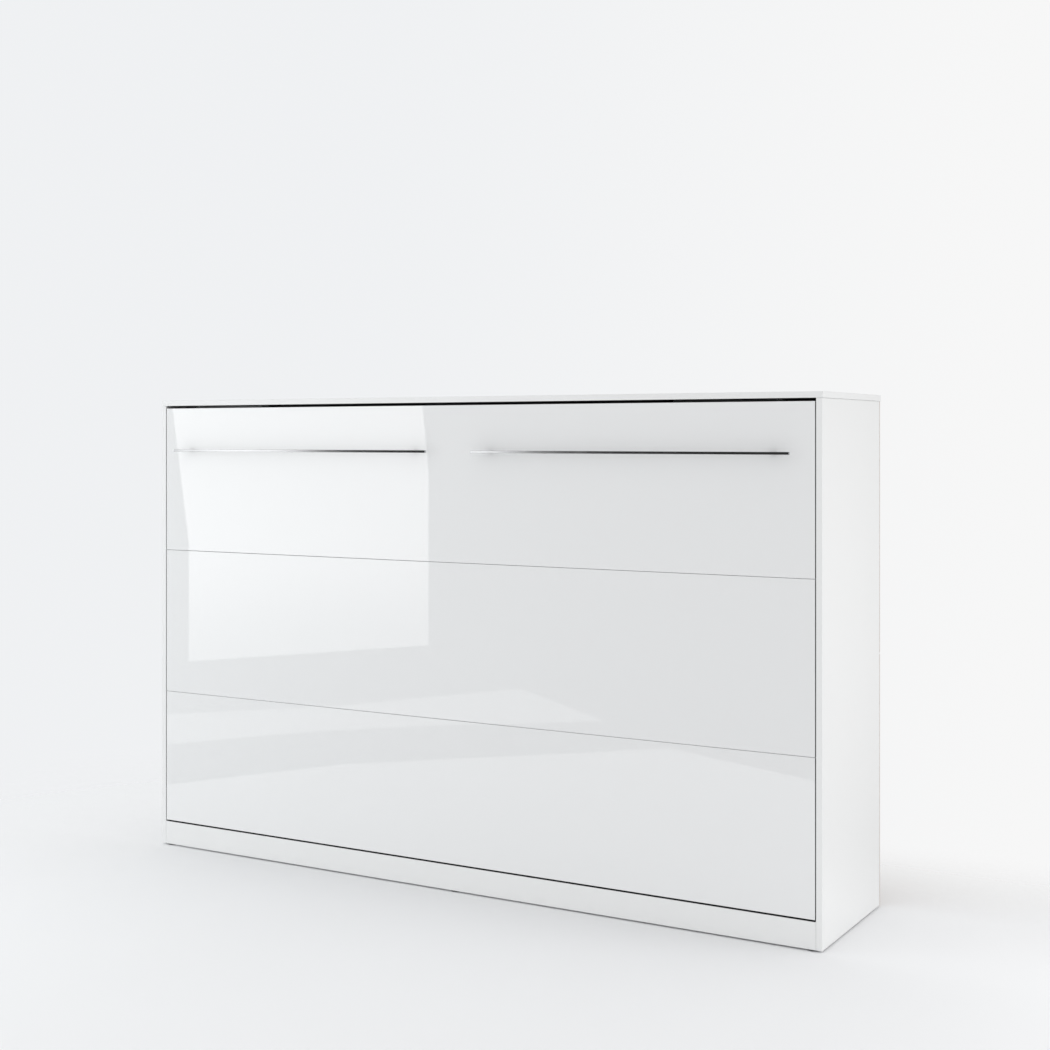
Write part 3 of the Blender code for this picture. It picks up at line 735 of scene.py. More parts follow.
@dataclass(frozen=True)
class BentPly(Finish):
    """Laminated birch slats: long grain on the faces, and the edges of the veneers on the sides."""

    pitch: float = 0.18
    room: float = 1.96
    width: float = 0.068
    thickness: float = 0.008
    crown: float = 0.0
    bow: float = 0.010
    middle: float = 0.0
    half: float = 0.6
    veneers: int = 6

    def dress(self, graph: Graph) -> dict[str, Any]:
        """Adds a tone for each slat, the grain, and the veneers on the sides.

        A slat's own place across comes from X past each whole pitch. Depth in the slat is Y less the bow,
        which grows with the square of the distance from the slat's middle.
        """
        along, depth, up = (graph.part(axis) for axis in Axis)
        number = (along + self.room / 2) / self.pitch
        across = (number % 1.0 - 0.5) * self.pitch
        whole = {"W": number.math("FLOOR", number)}
        tone = graph.node("ShaderNodeTexWhiteNoise", {"noise_dimensions": "1D"}, whole)
        grain = graph.noise(0.0022, 5.0, (1.0, 1.0, 60.0))
        figure = graph.noise(0.016, 3.0, (1.0, 1.0, 16.0))
        in_slat = self.crown - depth - (((up - self.middle) / self.half) ** 2.0) * self.bow
        plies = ((in_slat * (self.veneers / self.thickness * math.tau)).sine() * 0.5 + 0.5).step(0.25, 0.75)
        sides = abs(across).step(self.width / 2 - 0.0008, self.width / 2 - 0.0003)
        wood = graph.mix(grain.step(0.38, 0.68), self.colour, (0.52, 0.345, 0.195))
        wood = graph.mix(figure.step(0.45, 0.75) * 0.5, wood, (0.74, 0.56, 0.37))
        wood = graph.mix(tone * 0.22, wood, (0.47, 0.315, 0.18))
        wood = graph.mix(sides * plies * 0.6, wood, (0.33, 0.20, 0.10))
        return {
            "Base Color": wood,
            "Roughness": grain * 0.12 + (self.roughness - 0.06),
            "Coat Weight": 0.2,
            "Coat Roughness": 0.25,
            "Normal": graph.bump(grain, 0.00005),
        }


@dataclass(frozen=True)
class Ticking(Finish):
    """Knitted mattress cover, with a grey mesh border between its two quilted panels."""

    middle: float = 0.0
    border: float = 0.060
    wale: float = 0.0034
    border_colour: Colour = (0.36, 0.38, 0.40)

    def dress(self, graph: Graph) -> dict[str, Any]:
        """Adds the knit's columns of loops, the mesh of the border and a soft melange."""
        across, depth, up = (graph.part(axis) for axis in Axis)
        border = abs(depth - self.middle).step(self.border + 0.0006, self.border - 0.0006)
        turn = math.tau / self.wale
        loops = (across * turn).sine() * ((up * (turn * 1.2)) + (across * turn).sine()).sine()
        mesh = ((across + up) * (turn * 0.8)).sine() * (depth * (turn * 0.8)).sine()
        melange = graph.noise(0.004, 4.0)
        panel = graph.mix(melange.step(0.45, 0.7) * 0.5, self.colour, (0.66, 0.67, 0.68))
        side = graph.mix(mesh.step(0.0, 0.5) * 0.6, self.border_colour, (0.20, 0.21, 0.23))
        height = loops * (1 - border) + mesh * border
        return {
            "Base Color": graph.mix(border, panel, side),
            "Sheen Weight": 0.25,
            "Sheen Roughness": 0.5,
            "Normal": graph.bump(height * 0.5 + 0.5, 0.0006, 0.7),
        }


@dataclass(frozen=True)
class Woven(Finish):
    """Webbing or tape woven from thick threads, drawn across X and along the strap."""

    thread: float = 0.0016
    edge_colour: Colour = (0.11, 0.115, 0.125)
    lean: float = 8.0
    fuzz_colour: Colour = (0.34, 0.35, 0.37)

    def dress(self, graph: Graph) -> dict[str, Any]:
        """Adds the herringbone of the weave: threads that lean one way and then the other."""
        across, along = graph.part(Axis.X), graph.field("along")
        turn = math.tau / self.thread
        lean = abs((across * (turn / 8)) % math.tau - math.pi) * self.lean
        rib = (along * turn + lean).sine() * 0.5 + 0.5
        fuzz = graph.noise(0.0009, 3.0)
        dark = graph.mix(rib.step(0.2, 0.8), self.edge_colour, self.colour)
        return {
            "Base Color": graph.mix(fuzz * 0.3, dark, self.fuzz_colour),
            "Sheen Weight": 0.2,
            "Normal": graph.bump(rib * 0.8 + fuzz * 0.2, 0.0004),
        }


@dataclass(frozen=True)
class Piping(Finish):
    """Twisted tape sewn round the mattress's edges."""

    twist: float = 0.004

    def dress(self, graph: Graph) -> dict[str, Any]:
        """Adds the slanted ribs of the tape."""
        across, depth, up = (graph.part(axis) for axis in Axis)
        rib = ((across + up + depth) * (math.tau / self.twist)).sine() * 0.5 + 0.5
        return {
            "Base Color": graph.mix(rib, self.colour, (0.42, 0.44, 0.46)),
            "Normal": graph.bump(rib, 0.0005),
        }


GLOSS_WHITE = (0.79, 0.795, 0.80)
MATT_WHITE = (0.785, 0.79, 0.79)
PAINTED_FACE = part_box("back_panel_lower")[0].y + 0.0002
SHEET = FibreSheet("back_sheet", (0.76, 0.76, 0.75), 0.55, inner_face=PAINTED_FACE)
HANDLE_CHROME = (0.45, 0.457, 0.465)
WHITE_PLASTIC = Moulded("white_plastic", (0.78, 0.78, 0.77), 0.40)
DARK_PLASTIC = Moulded("dark_plastic", (0.055, 0.056, 0.058), 0.45)
RUBBER = Moulded("black_rubber", (0.030, 0.030, 0.031), 0.72, grain=0.0010, relief=0.00010)
# Near-black finish for thin strips in the gaps round the front: a painted shadow for those gaps.
GAP_SHADOW_BLACK = Moulded("black_felt", (0.010, 0.010, 0.010), 0.95, grain=0.0005, relief=0.00020)
ZINC = Plated("zinc_plate", (0.58, 0.59, 0.61), 0.34, 1.0)
FASTENER_ZINC = Plated("fastener_zinc", (0.66, 0.67, 0.69), 0.28, 1.0, rolled=(1.0, 1.0, 1.0))
ROD_CHROME = Polished("rod_chrome", (0.74, 0.75, 0.76), 0.08, 1.0, drawn=(1.0, 1.0, 0.2))
GREY_STEEL = PowderCoat("grey_powder_coat", (0.255, 0.265, 0.275), 0.42)
BLACK_STEEL = PowderCoat("black_powder_coat", (0.022, 0.022, 0.023), 0.38)
WEBBING = Woven("strap_webbing", (0.22, 0.23, 0.25), 0.85)
ZIP_COIL = Woven(
    "zip_coil", (0.075, 0.077, 0.082), 0.45, thread=0.0024, edge_colour=(0.02, 0.02, 0.022), lean=0.0,
    fuzz_colour=(0.06, 0.06, 0.062),
)
TAPE = Piping("tape_edge", (0.60, 0.62, 0.64), 0.85)


def dress_nodes(names: Sequence[str], material: bpy.types.Material) -> None:
    """Gives one material to carried-over CAD nodes.

    Args:
        names: the nodes' names.
        material: their material.
    """
    for name in names:
        for slot in frame["nodes"][name].material_slots:
            slot.link = "OBJECT"
            slot.material = material
    LOG.info("%s on %s", material.name, ", ".join(names))


def dress_board(name: str, kind: type[Board], colour: Colour, roughness: float) -> None:
    """Gives a board node the finish whose edge band fits its own size.

    Args:
        name: the node's name.
        kind: the board finish.
        colour: the coating's colour.
        roughness: the matt faces' roughness.
    """
    low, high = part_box(name)
    dress_nodes([name], kind(name, colour, roughness, low=tuple(low), high=tuple(high)).material())


# Fasteners


@dataclass(frozen=True)
class CrossHead:
    """A domed screw head with a cross recess, made of rings of points whose height dips in the cross."""

    radius: float = 0.0042
    height: float = 0.0021
    cross_reach: float = 0.62
    cross_half: float = 0.16
    cross_depth: float = 0.55
    rings: int = 10
    segments: int = 32

    def patch(self, place: Sequence[float], outward: Sequence[float], spin: float = 0.0) -> Patch:
        """Builds the head. Its height falls from the middle as the root of 1 - r^4, less the cross.

        Args:
            place: the middle of its underside.
            outward: the direction that it faces.
            spin: how far the cross is turned.

        Returns:
            A closed patch.
        """
        radius = np.linspace(0.06, 1.0, self.rings)[:, None]
        angle = np.arange(self.segments)[None, :] * math.tau / self.segments
        u, v = radius * np.cos(angle), radius * np.sin(angle)
        arm = np.minimum(np.abs(u), np.abs(v)) < self.cross_half
        in_cross = arm & (radius < self.cross_reach)
        height = self.height * (np.sqrt(1 - 0.92 * radius**4) - self.cross_depth * in_cross)
        across, up, along = basis(outward)
        turned_u, turned_v = u * math.cos(spin) - v * math.sin(spin), u * math.sin(spin) + v * math.cos(spin)
        flat = self.radius * (turned_u[..., None] * across + turned_v[..., None] * up)
        rings = np.array(place) + flat + height[..., None] * along
        base = (np.array(place) + flat[-1])[None]
        return loft(np.concatenate([rings, base]))


@dataclass(frozen=True)
class HexHead:
    """A hexagon head on a washer. A side's distance from the middle is the flat's over the cosine to it."""

    across_flats: float = 0.010
    height: float = 0.0034
    washer: float = 0.0070
    washer_height: float = 0.0010
    chamfer: float = 0.8976
    crown: float = 0.528
    sides: int = 24

    def patch(self, place: Sequence[float], outward: Sequence[float]) -> Patch:
        """Builds the washer and the head on it.

        Args:
            place: the middle of the washer's underside.
            outward: the direction that the head faces.

        Returns:
            Both as closed patches in one.
        """
        flat_radius, base = self.across_flats / 2, self.washer_height
        angle = np.arange(self.sides) * math.tau / self.sides
        flat = flat_radius / np.cos((angle + math.pi / 6) % (math.pi / 3) - math.pi / 6)
        directions = basis(outward)
        spokes = circle(self.sides) @ directions[:2]
        chamfer = np.full_like(flat, self.chamfer * flat_radius)
        crown = np.full_like(flat, self.crown * flat_radius)
        top = base + self.height
        levels = ((flat, base), (flat, base + 0.82 * self.height), (chamfer, top), (crown, top))
        middle = np.array(place)
        rings = [middle + radius[:, None] * spokes + height * directions[2] for radius, height in levels]
        inner = self.washer * 0.4
        disc = [(inner, 0.0), (self.washer, 0.0), (self.washer, base), (inner, base)]
        return gather([turned(disc, place, outward), loft(np.array(rings))])


def nail_head(place: Sequence[float], outward: Sequence[float]) -> Patch:
    """A flat nail head with a few sides, because there are many."""
    return turned([(0.0012, 0.0006), (0.0022, 0.0004), (0.0026, 0.0001), (0.0022, 0.0)], place, outward, 10)


def felt_strip(
    start: tuple[float, float], end: tuple[float, float], away: tuple[float, float], thickness: float,
    inset: float = 0.0006, width: float = 0.0135, stand: float = 0.0001,
) -> Patch:
    """A thin near-black strip along an edge face of a board near the bed's front, a painted shadow for the
    gap there.

    Args:
        start: one end of the strip's middle on the board, as (X, Z).
        end: its other end.
        away: the direction that the board's face has.
        thickness: how thick the strip is.
        inset: how far the strip lies behind the front.
        width: how wide it is, backwards.
        stand: how far the strip stands off the board.

    Returns:
        A closed patch.
    """
    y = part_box("front_board_top")[0].y + inset + width / 2
    corners = np.array([start, end]) + np.array(away) * (stand + thickness / 2)
    path = np.column_stack([corners[:, 0], (y, y), corners[:, 1]])
    return swept(rounded_rectangle(width, thickness, thickness * 0.3, 2), path, (0, 1, 0))


def pin_clip(place: Sequence[float], outward: Sequence[float]) -> Patch:
    """The domed clip pressed on the end of a pin."""
    rim = [(0.0015, 0.0), (0.0062, 0.0), (0.0066, 0.0004), (0.0060, 0.0009)]
    return turned(rim + [(0.0030, 0.0016), (0.0015, 0.0018)], place, outward)


# Cabinet


@dataclass
class Cabinet:
    """The carcass: its boards and sheets, and the fittings that hold it together."""

    fixings = ("hinge_plate", "strut_bracket", "wall_bracket")
    body: str = "cabinet"
    cam_radius: float = 0.0075
    cam_inset: float = 0.034
    cam_stand: float = 0.0006
    nail_pitch: float = 0.125
    nail_inset: float = 0.008
    plate_thickness: float = 0.004
    wall_bracket_thickness: float = 0.003

    def build(self) -> None:
        """Dresses the carcass and adds its fittings."""
        self.dress()
        zinc = FASTENER_ZINC.material()
        make_piece("cam_fittings", gather(self.cams()), zinc, self.body)
        make_piece("back_sheet_nails", gather(self.nails()), zinc, self.body)
        # Painted shadow: near-black strips darken the gaps above and below the front.
        make_piece("opening_seals", gather(self.seals()), GAP_SHADOW_BLACK.material(), self.body)
        screws = (self.hinge_plate_screws, self.strut_bracket_screws, self.wall_bracket_screws)
        for side in Side:
            for part, place_screws in zip(self.fixings, screws):
                name = f"{part}_{side.label}"
                heads = gather(place_screws(name, side.value))
                make_piece(f"{name}_screws", heads, zinc, self.body)

    def dress(self) -> None:
        """Gives the carried-over nodes of the carcass their finishes."""
        boards = ("side_panel_left", "side_panel_right", "top_panel", "plinth", "bottom_board")
        for name in (*boards, "back_rail_bottom", "back_rail_top"):
            dress_board(name, Board, MATT_WHITE, 0.40)
        dress_nodes(["back_panel_lower", "back_panel_upper"], SHEET.material())
        dress_nodes(["back_joint_strip"], WHITE_PLASTIC.material())
        glides = [name for name in frame["nodes"] if name.startswith("glide_")]
        dress_nodes(glides, DARK_PLASTIC.material())
        dress_nodes(["bumper_left", "bumper_right"], RUBBER.material())
        plates = [f"{part}_{side.label}" for part in self.fixings for side in Side]
        dress_nodes(plates, ZINC.material())

    def cams(self) -> list[Patch]:
        """Cam locks in the side panels, the bottom board and the back rails.

        Returns:
            One patch for each cam.
        """
        cam = CrossHead(self.cam_radius, self.cam_stand, cross_reach=0.7, cross_half=0.17, cross_depth=0.8)
        front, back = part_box("bottom_board")[0].y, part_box("back_rail_top")[0].y
        depths = [front + 0.30 * (back - front), front + 0.88 * (back - front)]
        made = []
        for side in Side:
            panel_low, panel_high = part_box(f"side_panel_{side.label}")
            inner = panel_low.x if side is Side.RIGHT else panel_high.x
            height = panel_high.z - self.cam_inset
            made += [cam.patch((inner, y, height), (-side.value, 0, 0), y) for y in depths]
            x = inner - side.value * self.cam_inset
            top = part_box("bottom_board")[1].z
            made += [cam.patch((x, y, top), (0, 0, 1), y) for y in depths]
            for rail in ("back_rail_top", "back_rail_bottom"):
                low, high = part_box(rail)
                made.append(cam.patch((x, low.y, (low.z + high.z) / 2), (0, -1, 0), side.value))
        return made

    def seals(self) -> list[Patch]:
        """Near-black strips under the top panel and on the plinth, a painted shadow for the gaps there.

        They are thin, because the front's lower edge and the legs swing close past them.

        Returns:
            One patch for each strip.
        """
        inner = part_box("side_panel_right")[0].x - 0.003
        base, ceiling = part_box("plinth")[1].z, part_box("top_panel")[0].z
        return [
            felt_strip((-inner, base), (inner, base), (0, 1), 0.0005),
            felt_strip((-inner, ceiling), (inner, ceiling), (0, -1), 0.0005),
        ]

    def nails(self) -> list[Patch]:
        """Nails along the edges of the back sheets and into the rails behind them.

        Returns:
            One patch for each nail.
        """
        lower_low, lower_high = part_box("back_panel_lower")
        upper_low, upper_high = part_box("back_panel_upper")
        reach = lower_high.x - self.nail_inset
        rail_z = [sum(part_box(f"back_rail_{end}")[k].z for k in range(2)) / 2 for end in ("bottom", "top")]
        board_z = sum(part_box("bottom_board")[k].z for k in range(2)) / 2
        along = np.linspace(-reach, reach, round(2 * reach / self.nail_pitch) + 1)
        spots = [(x, z) for z in (board_z, *rail_z) for x in along[1:-1]]
        for low, high in ((lower_low.z, lower_high.z), (upper_low.z, upper_high.z)):
            heights = np.linspace(low + 0.02, high - 0.02, round((high - low) / self.nail_pitch) + 1)
            spots += [(side.value * reach, z) for side in Side for z in heights]
        return [nail_head((x, lower_high.y, z), (0, 1, 0)) for x, z in spots]

    def hinge_plate_screws(self, name: str, sign: int) -> list[Patch]:
        """Screws near the corners of a hinge plate, clear of the pin at its low front corner.

        Args:
            name: the plate.
            sign: its side.

        Returns:
            One patch for each screw.
        """
        low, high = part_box(name)
        face = high.x - self.plate_thickness if sign > 0 else low.x + self.plate_thickness
        inset = 0.014
        front, back = low.y + inset, high.y - inset
        middle, top = (low.z + high.z) / 2, high.z - inset
        spots = [(back, low.z + inset), (back, top), (front, top)]
        spots += [((low.y + high.y) / 2, middle + 0.02), (front, middle)]
        return [CrossHead().patch((face, y, z), (-sign, 0, 0), y * 90) for y, z in spots]

    def strut_bracket_screws(self, name: str, sign: int) -> list[Patch]:
        """Screws at the corners of a strut bracket, and the clip on the end of its pin.

        Args:
            name: the bracket.
            sign: its side.

        Returns:
            One patch for each of them.
        """
        low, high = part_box(name)
        face = high.x - self.plate_thickness if sign > 0 else low.x + self.plate_thickness
        tip = low.x if sign > 0 else high.x
        y, z = (low.y + high.y) / 2, (low.z + high.z) / 2
        reach = (high.z - low.z) / 2 - 0.010
        heads = [
            CrossHead().patch((face, y + v * reach, z + w * reach), (-sign, 0, 0), v + w / 3)
            for v in (-1, 1) for w in (-1, 1)
        ]
        return heads + [pin_clip((tip, y, z), (-sign, 0, 0))]

    def wall_bracket_screws(self, name: str, sign: int) -> list[Patch]:
        """The screw that holds a wall bracket to the top panel, under its level leg.

        Args:
            name: the bracket.
            sign: its side.

        Returns:
            One patch.
        """
        low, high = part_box(name)
        middle = (low.y + high.y) / 2 - 0.0015
        place = ((low.x + high.x) / 2, middle, high.z - self.wall_bracket_thickness)
        return [CrossHead(0.0062, 0.0026).patch(place, (0, 0, -1), sign)]


# Bed leaf


@dataclass
class BedLeaf:
    """The folding bed: its front boards and handles, its steel frame and its slats."""

    body: str = "bed_leaf"
    holder_wall: float = 0.0028
    holder_length: float = 0.030
    slat_thickness: float = 0.008
    cap_stand: float = 0.0022
    weld_radius: float = 0.0019
    post_inset: float = 0.050

    def build(self) -> None:
        """Dresses the leaf and adds its fittings."""
        self.dress()
        plastic = DARK_PLASTIC.material()
        zinc = FASTENER_ZINC.material()
        self.add_slat_holders(plastic)
        self.add_end_caps(plastic)
        make_piece("frame_bolts", gather(self.frame_bolts()), zinc, self.body)
        make_piece("handle_screws", gather(self.handle_screws()), zinc, self.body)
        # Painted shadow: near-black strips darken the gaps at the front's ends.
        make_piece("edge_seals", gather(self.edge_seals()), GAP_SHADOW_BLACK.material(), self.body)
        make_piece("frame_welds", gather(self.welds()), GREY_STEEL.material(), self.body)
        for side in Side:
            name = f"hinge_arm_{side.label}"
            make_piece(f"{name}_bolts", gather(self.arm_bolts(name, side.value)), zinc, self.body)

    def dress(self) -> None:
        """Gives the carried-over nodes of the leaf and of what hangs on it their finishes."""
        for place in ("bottom", "middle", "top"):
            dress_board(f"front_board_{place}", GlossBoard, GLOSS_WHITE, 0.40)
        for side, lean in ((Side.LEFT, 0.080), (Side.RIGHT, -0.015)):
            low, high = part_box(f"handle_{side.label}")
            name, middle = f"handle_chrome_{side.label}", (low.x + high.x) / 2
            chrome = CrownedBar(name, HANDLE_CHROME, 0.22, 1.0, middle=middle, lean=lean)
            dress_nodes([f"handle_{side.label}"], chrome.material())
        tubes = [name for name in frame["nodes"] if name.startswith("frame_")]
        dress_nodes(tubes, GREY_STEEL.material())
        dress_nodes(["hinge_arm_left", "hinge_arm_right"], ZINC.material())
        dress_nodes(["leg_bolt_left", "leg_bolt_right"], FASTENER_ZINC.material())
        dress_nodes(["leg_left", "leg_right"], BLACK_STEEL.material())
        dress_nodes(["leg_pad_left", "leg_pad_right"], RUBBER.material())
        slats = sorted(name for name in frame["nodes"] if name.startswith("slat_"))
        dress_nodes(slats, self.slat_finish(slats).material())

    def slat_finish(self, slats: Sequence[str]) -> BentPly:
        """Works out the birch finish from the slats' places.

        Args:
            slats: the slats' names, from the left.

        Returns:
            The finish.
        """
        (low, high), (next_low, _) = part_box(slats[0]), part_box(slats[1])
        pitch = next_low.x - low.x
        half = (high.z - low.z) / 2
        return BentPly(
            "birch_slat", (0.70, 0.52, 0.335), 0.42, pitch=pitch, room=pitch * len(slats), crown=high.y,
            width=high.x - low.x, bow=high.y - low.y - self.slat_thickness, middle=low.z + half, half=half,
        )

    def add_slat_holders(self, material: bpy.types.Material) -> None:
        """Adds the plastic shoe over each end of each slat, a closed cap with a lip round its mouth.

        Args:
            material: the shoes' material.
        """
        # For each ring: its share of the length, how far it grows in width, and how far in depth.
        lip = ((0.62, 0.0012, 0.0007), (0.93, 0.0012, 0.0007), (0.95, 0.0, 0.0), (1.0, -0.0008, -0.0008))
        profile = ((0.0, -0.0012, -0.0012), (0.0003, 0.0, 0.0), (0.60, 0.0, 0.0), *lip)
        levels = [(share * self.holder_length, wide, deep, 0.0030) for share, wide, deep in profile]
        for name in sorted(name for name in frame["nodes"] if name.startswith("slat_")):
            low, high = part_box(name)
            x, y = (low.x + high.x) / 2, low.y + self.slat_thickness / 2
            size = (high.x - low.x + 2 * self.holder_wall, self.slat_thickness + 2 * self.holder_wall)
            for end, sign, z in (("lower", 1, low.z), ("upper", -1, high.z)):
                directions = np.array([(1, 0, 0), (0, 1, 0), (0, 0, sign)])
                shoe = stepped(size, levels, (x, y, z + sign * 0.0001), directions, 0.03)
                piece = f"slat_holder_{name[-2:]}_{end}"
                make_piece(piece, shoe, material, self.body)

    def add_end_caps(self, material: bpy.types.Material) -> None:
        """Adds the plastic plugs in the open ends of the two rails.

        Args:
            material: the plugs' material.
        """
        plug = ((-0.010, -0.0024), (0.0001, -0.0022))
        steps = (*plug, (0.0001, 0.0), (0.0014, 0.0), (self.cap_stand, -0.0012))
        levels = [(stand, grow, grow, 0.0030 + min(grow, 0.0)) for stand, grow in steps]
        for rail in ("top", "bottom"):
            low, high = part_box(f"frame_rail_{rail}")
            for side in Side:
                face = high.x if side is Side.RIGHT else low.x
                place = (face, (low.y + high.y) / 2, (low.z + high.z) / 2)
                directions = np.array([(0, 1, 0), (0, 0, 1), (side.value, 0, 0)])
                cap = stepped((high.y - low.y, high.z - low.z), levels, place, directions)
                make_piece(f"rail_cap_{rail}_{side.label}", cap, material, self.body)

    def frame_bolts(self) -> list[Patch]:
        """Screws through the cross bars and rails into the front boards, clear of the slats.

        Returns:
            One patch for each screw.
        """
        low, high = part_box("slat_01")
        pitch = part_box("slat_02")[0].x - low.x
        first = low.x - pitch / 2 + (high.x - low.x) / 2
        between = [first + pitch * number for number in range(1, 11, 2)]
        made = []
        for bar in ("cross_bar_lower", "cross_bar_upper"):
            bar_low, bar_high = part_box(f"frame_{bar}")
            middle = (bar_low.z + bar_high.z) / 2
            spots = [(x, bar_high.y, middle + rise) for x in between for rise in (-0.008, 0.008)]
            made += [CrossHead().patch(spot, (0, 1, 0), spot[0]) for spot in spots]
        for rail in ("rail_top", "rail_bottom"):
            rail_low, rail_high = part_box(f"frame_{rail}")
            z = (rail_low.z + rail_high.z) / 2 + (0.004 if rail == "rail_top" else -0.007)
            made += [CrossHead().patch((x, rail_high.y, z), (0, 1, 0), x) for x in between]
        return made

    def edge_seals(self) -> list[Patch]:
        """Near-black strips on the end faces of the front boards, facing the side panels: a painted shadow
        for the gaps at the ends.

        Returns:
            One patch for each strip.
        """
        made = []
        for place in ("bottom", "middle", "top"):
            low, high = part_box(f"front_board_{place}")
            ends = (low.z + 0.0012, high.z - 0.0012)
            for x, sign in ((low.x, -1), (high.x, 1)):
                made.append(felt_strip((x, ends[0]), (x, ends[1]), (sign, 0), 0.0014))
        return made

    def handle_screws(self) -> list[Patch]:
        """The screws that hold the handles' posts, on the back of the top front board.

        Returns:
            One patch for each screw.
        """
        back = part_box("front_board_top")[1].y
        made = []
        for side in Side:
            low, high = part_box(f"handle_{side.label}")
            z = (low.z + high.z) / 2
            posts = (low.x + self.post_inset, high.x - self.post_inset)
            made += [CrossHead(0.0048, 0.0024).patch((x, back, z), (0, 1, 0), x) for x in posts]
        return made

    def arm_bolts(self, name: str, sign: int) -> list[Patch]:
        """The hexagon bolts that hold a hinge arm to the frame's end tube.

        Args:
            name: the arm.
            sign: its side.

        Returns:
            One patch for each bolt.
        """
        low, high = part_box(name)
        tube_low, tube_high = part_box("frame_end_left")
        face = high.x if sign > 0 else low.x
        middle = (tube_low.y + tube_high.y) / 2
        heights = np.linspace(low.z + 0.175, high.z - 0.022, 4)
        return [HexHead().patch((face, middle, z), (sign, 0, 0)) for z in heights]

    def welds(self) -> list[Patch]:
        """Weld beads where the tubes meet, their thickness rippling along their length.

        Returns:
            One patch for each bead.
        """
        made = []
        for name in ("frame_rail_bottom", "frame_rail_top"):
            low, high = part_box(name)
            z = high.z if name.endswith("bottom") else low.z
            for side in Side:
                end_low, end_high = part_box(f"frame_end_{side.label}")
                made.append(self.bead((end_low.x + 0.002, high.y, z), (end_high.x - 0.002, high.y, z)))
        for name in ("frame_cross_bar_lower", "frame_cross_bar_upper"):
            low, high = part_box(name)
            back, top = high.y - 0.0004, high.z - 0.0004
            for x in (low.x, high.x):
                made.append(self.bead((x, back, low.z + 0.003), (x, back, high.z - 0.003)))
                made.append(self.bead((x, low.y + 0.003, top), (x, high.y - 0.003, top)))
        return made

    def bead(self, start: Sequence[float], end: Sequence[float]) -> Patch:
        """One bead: rings between two points whose radius swells and shrinks with the welder's stitches.

        Args:
            start: its first end.
            end: its last end.

        Returns:
            A closed patch.
        """
        first, last = np.array(start, float), np.array(end, float)
        length = float(np.linalg.norm(last - first))
        count = max(12, round(length / 0.0006))
        share = np.linspace(0, 1, count)
        taper = np.sqrt(np.clip(1 - (2 * share - 1) ** 8, 0.02, 1))
        radius = self.weld_radius * taper * (1 + 0.10 * np.abs(np.sin(share * length / 0.0022 * math.pi)))
        spokes = circle(10) @ basis(last - first)[:2]
        line = first + share[:, None] * (last - first)
        return loft(line[:, None] + radius[:, None, None] * spokes)


# Mattress


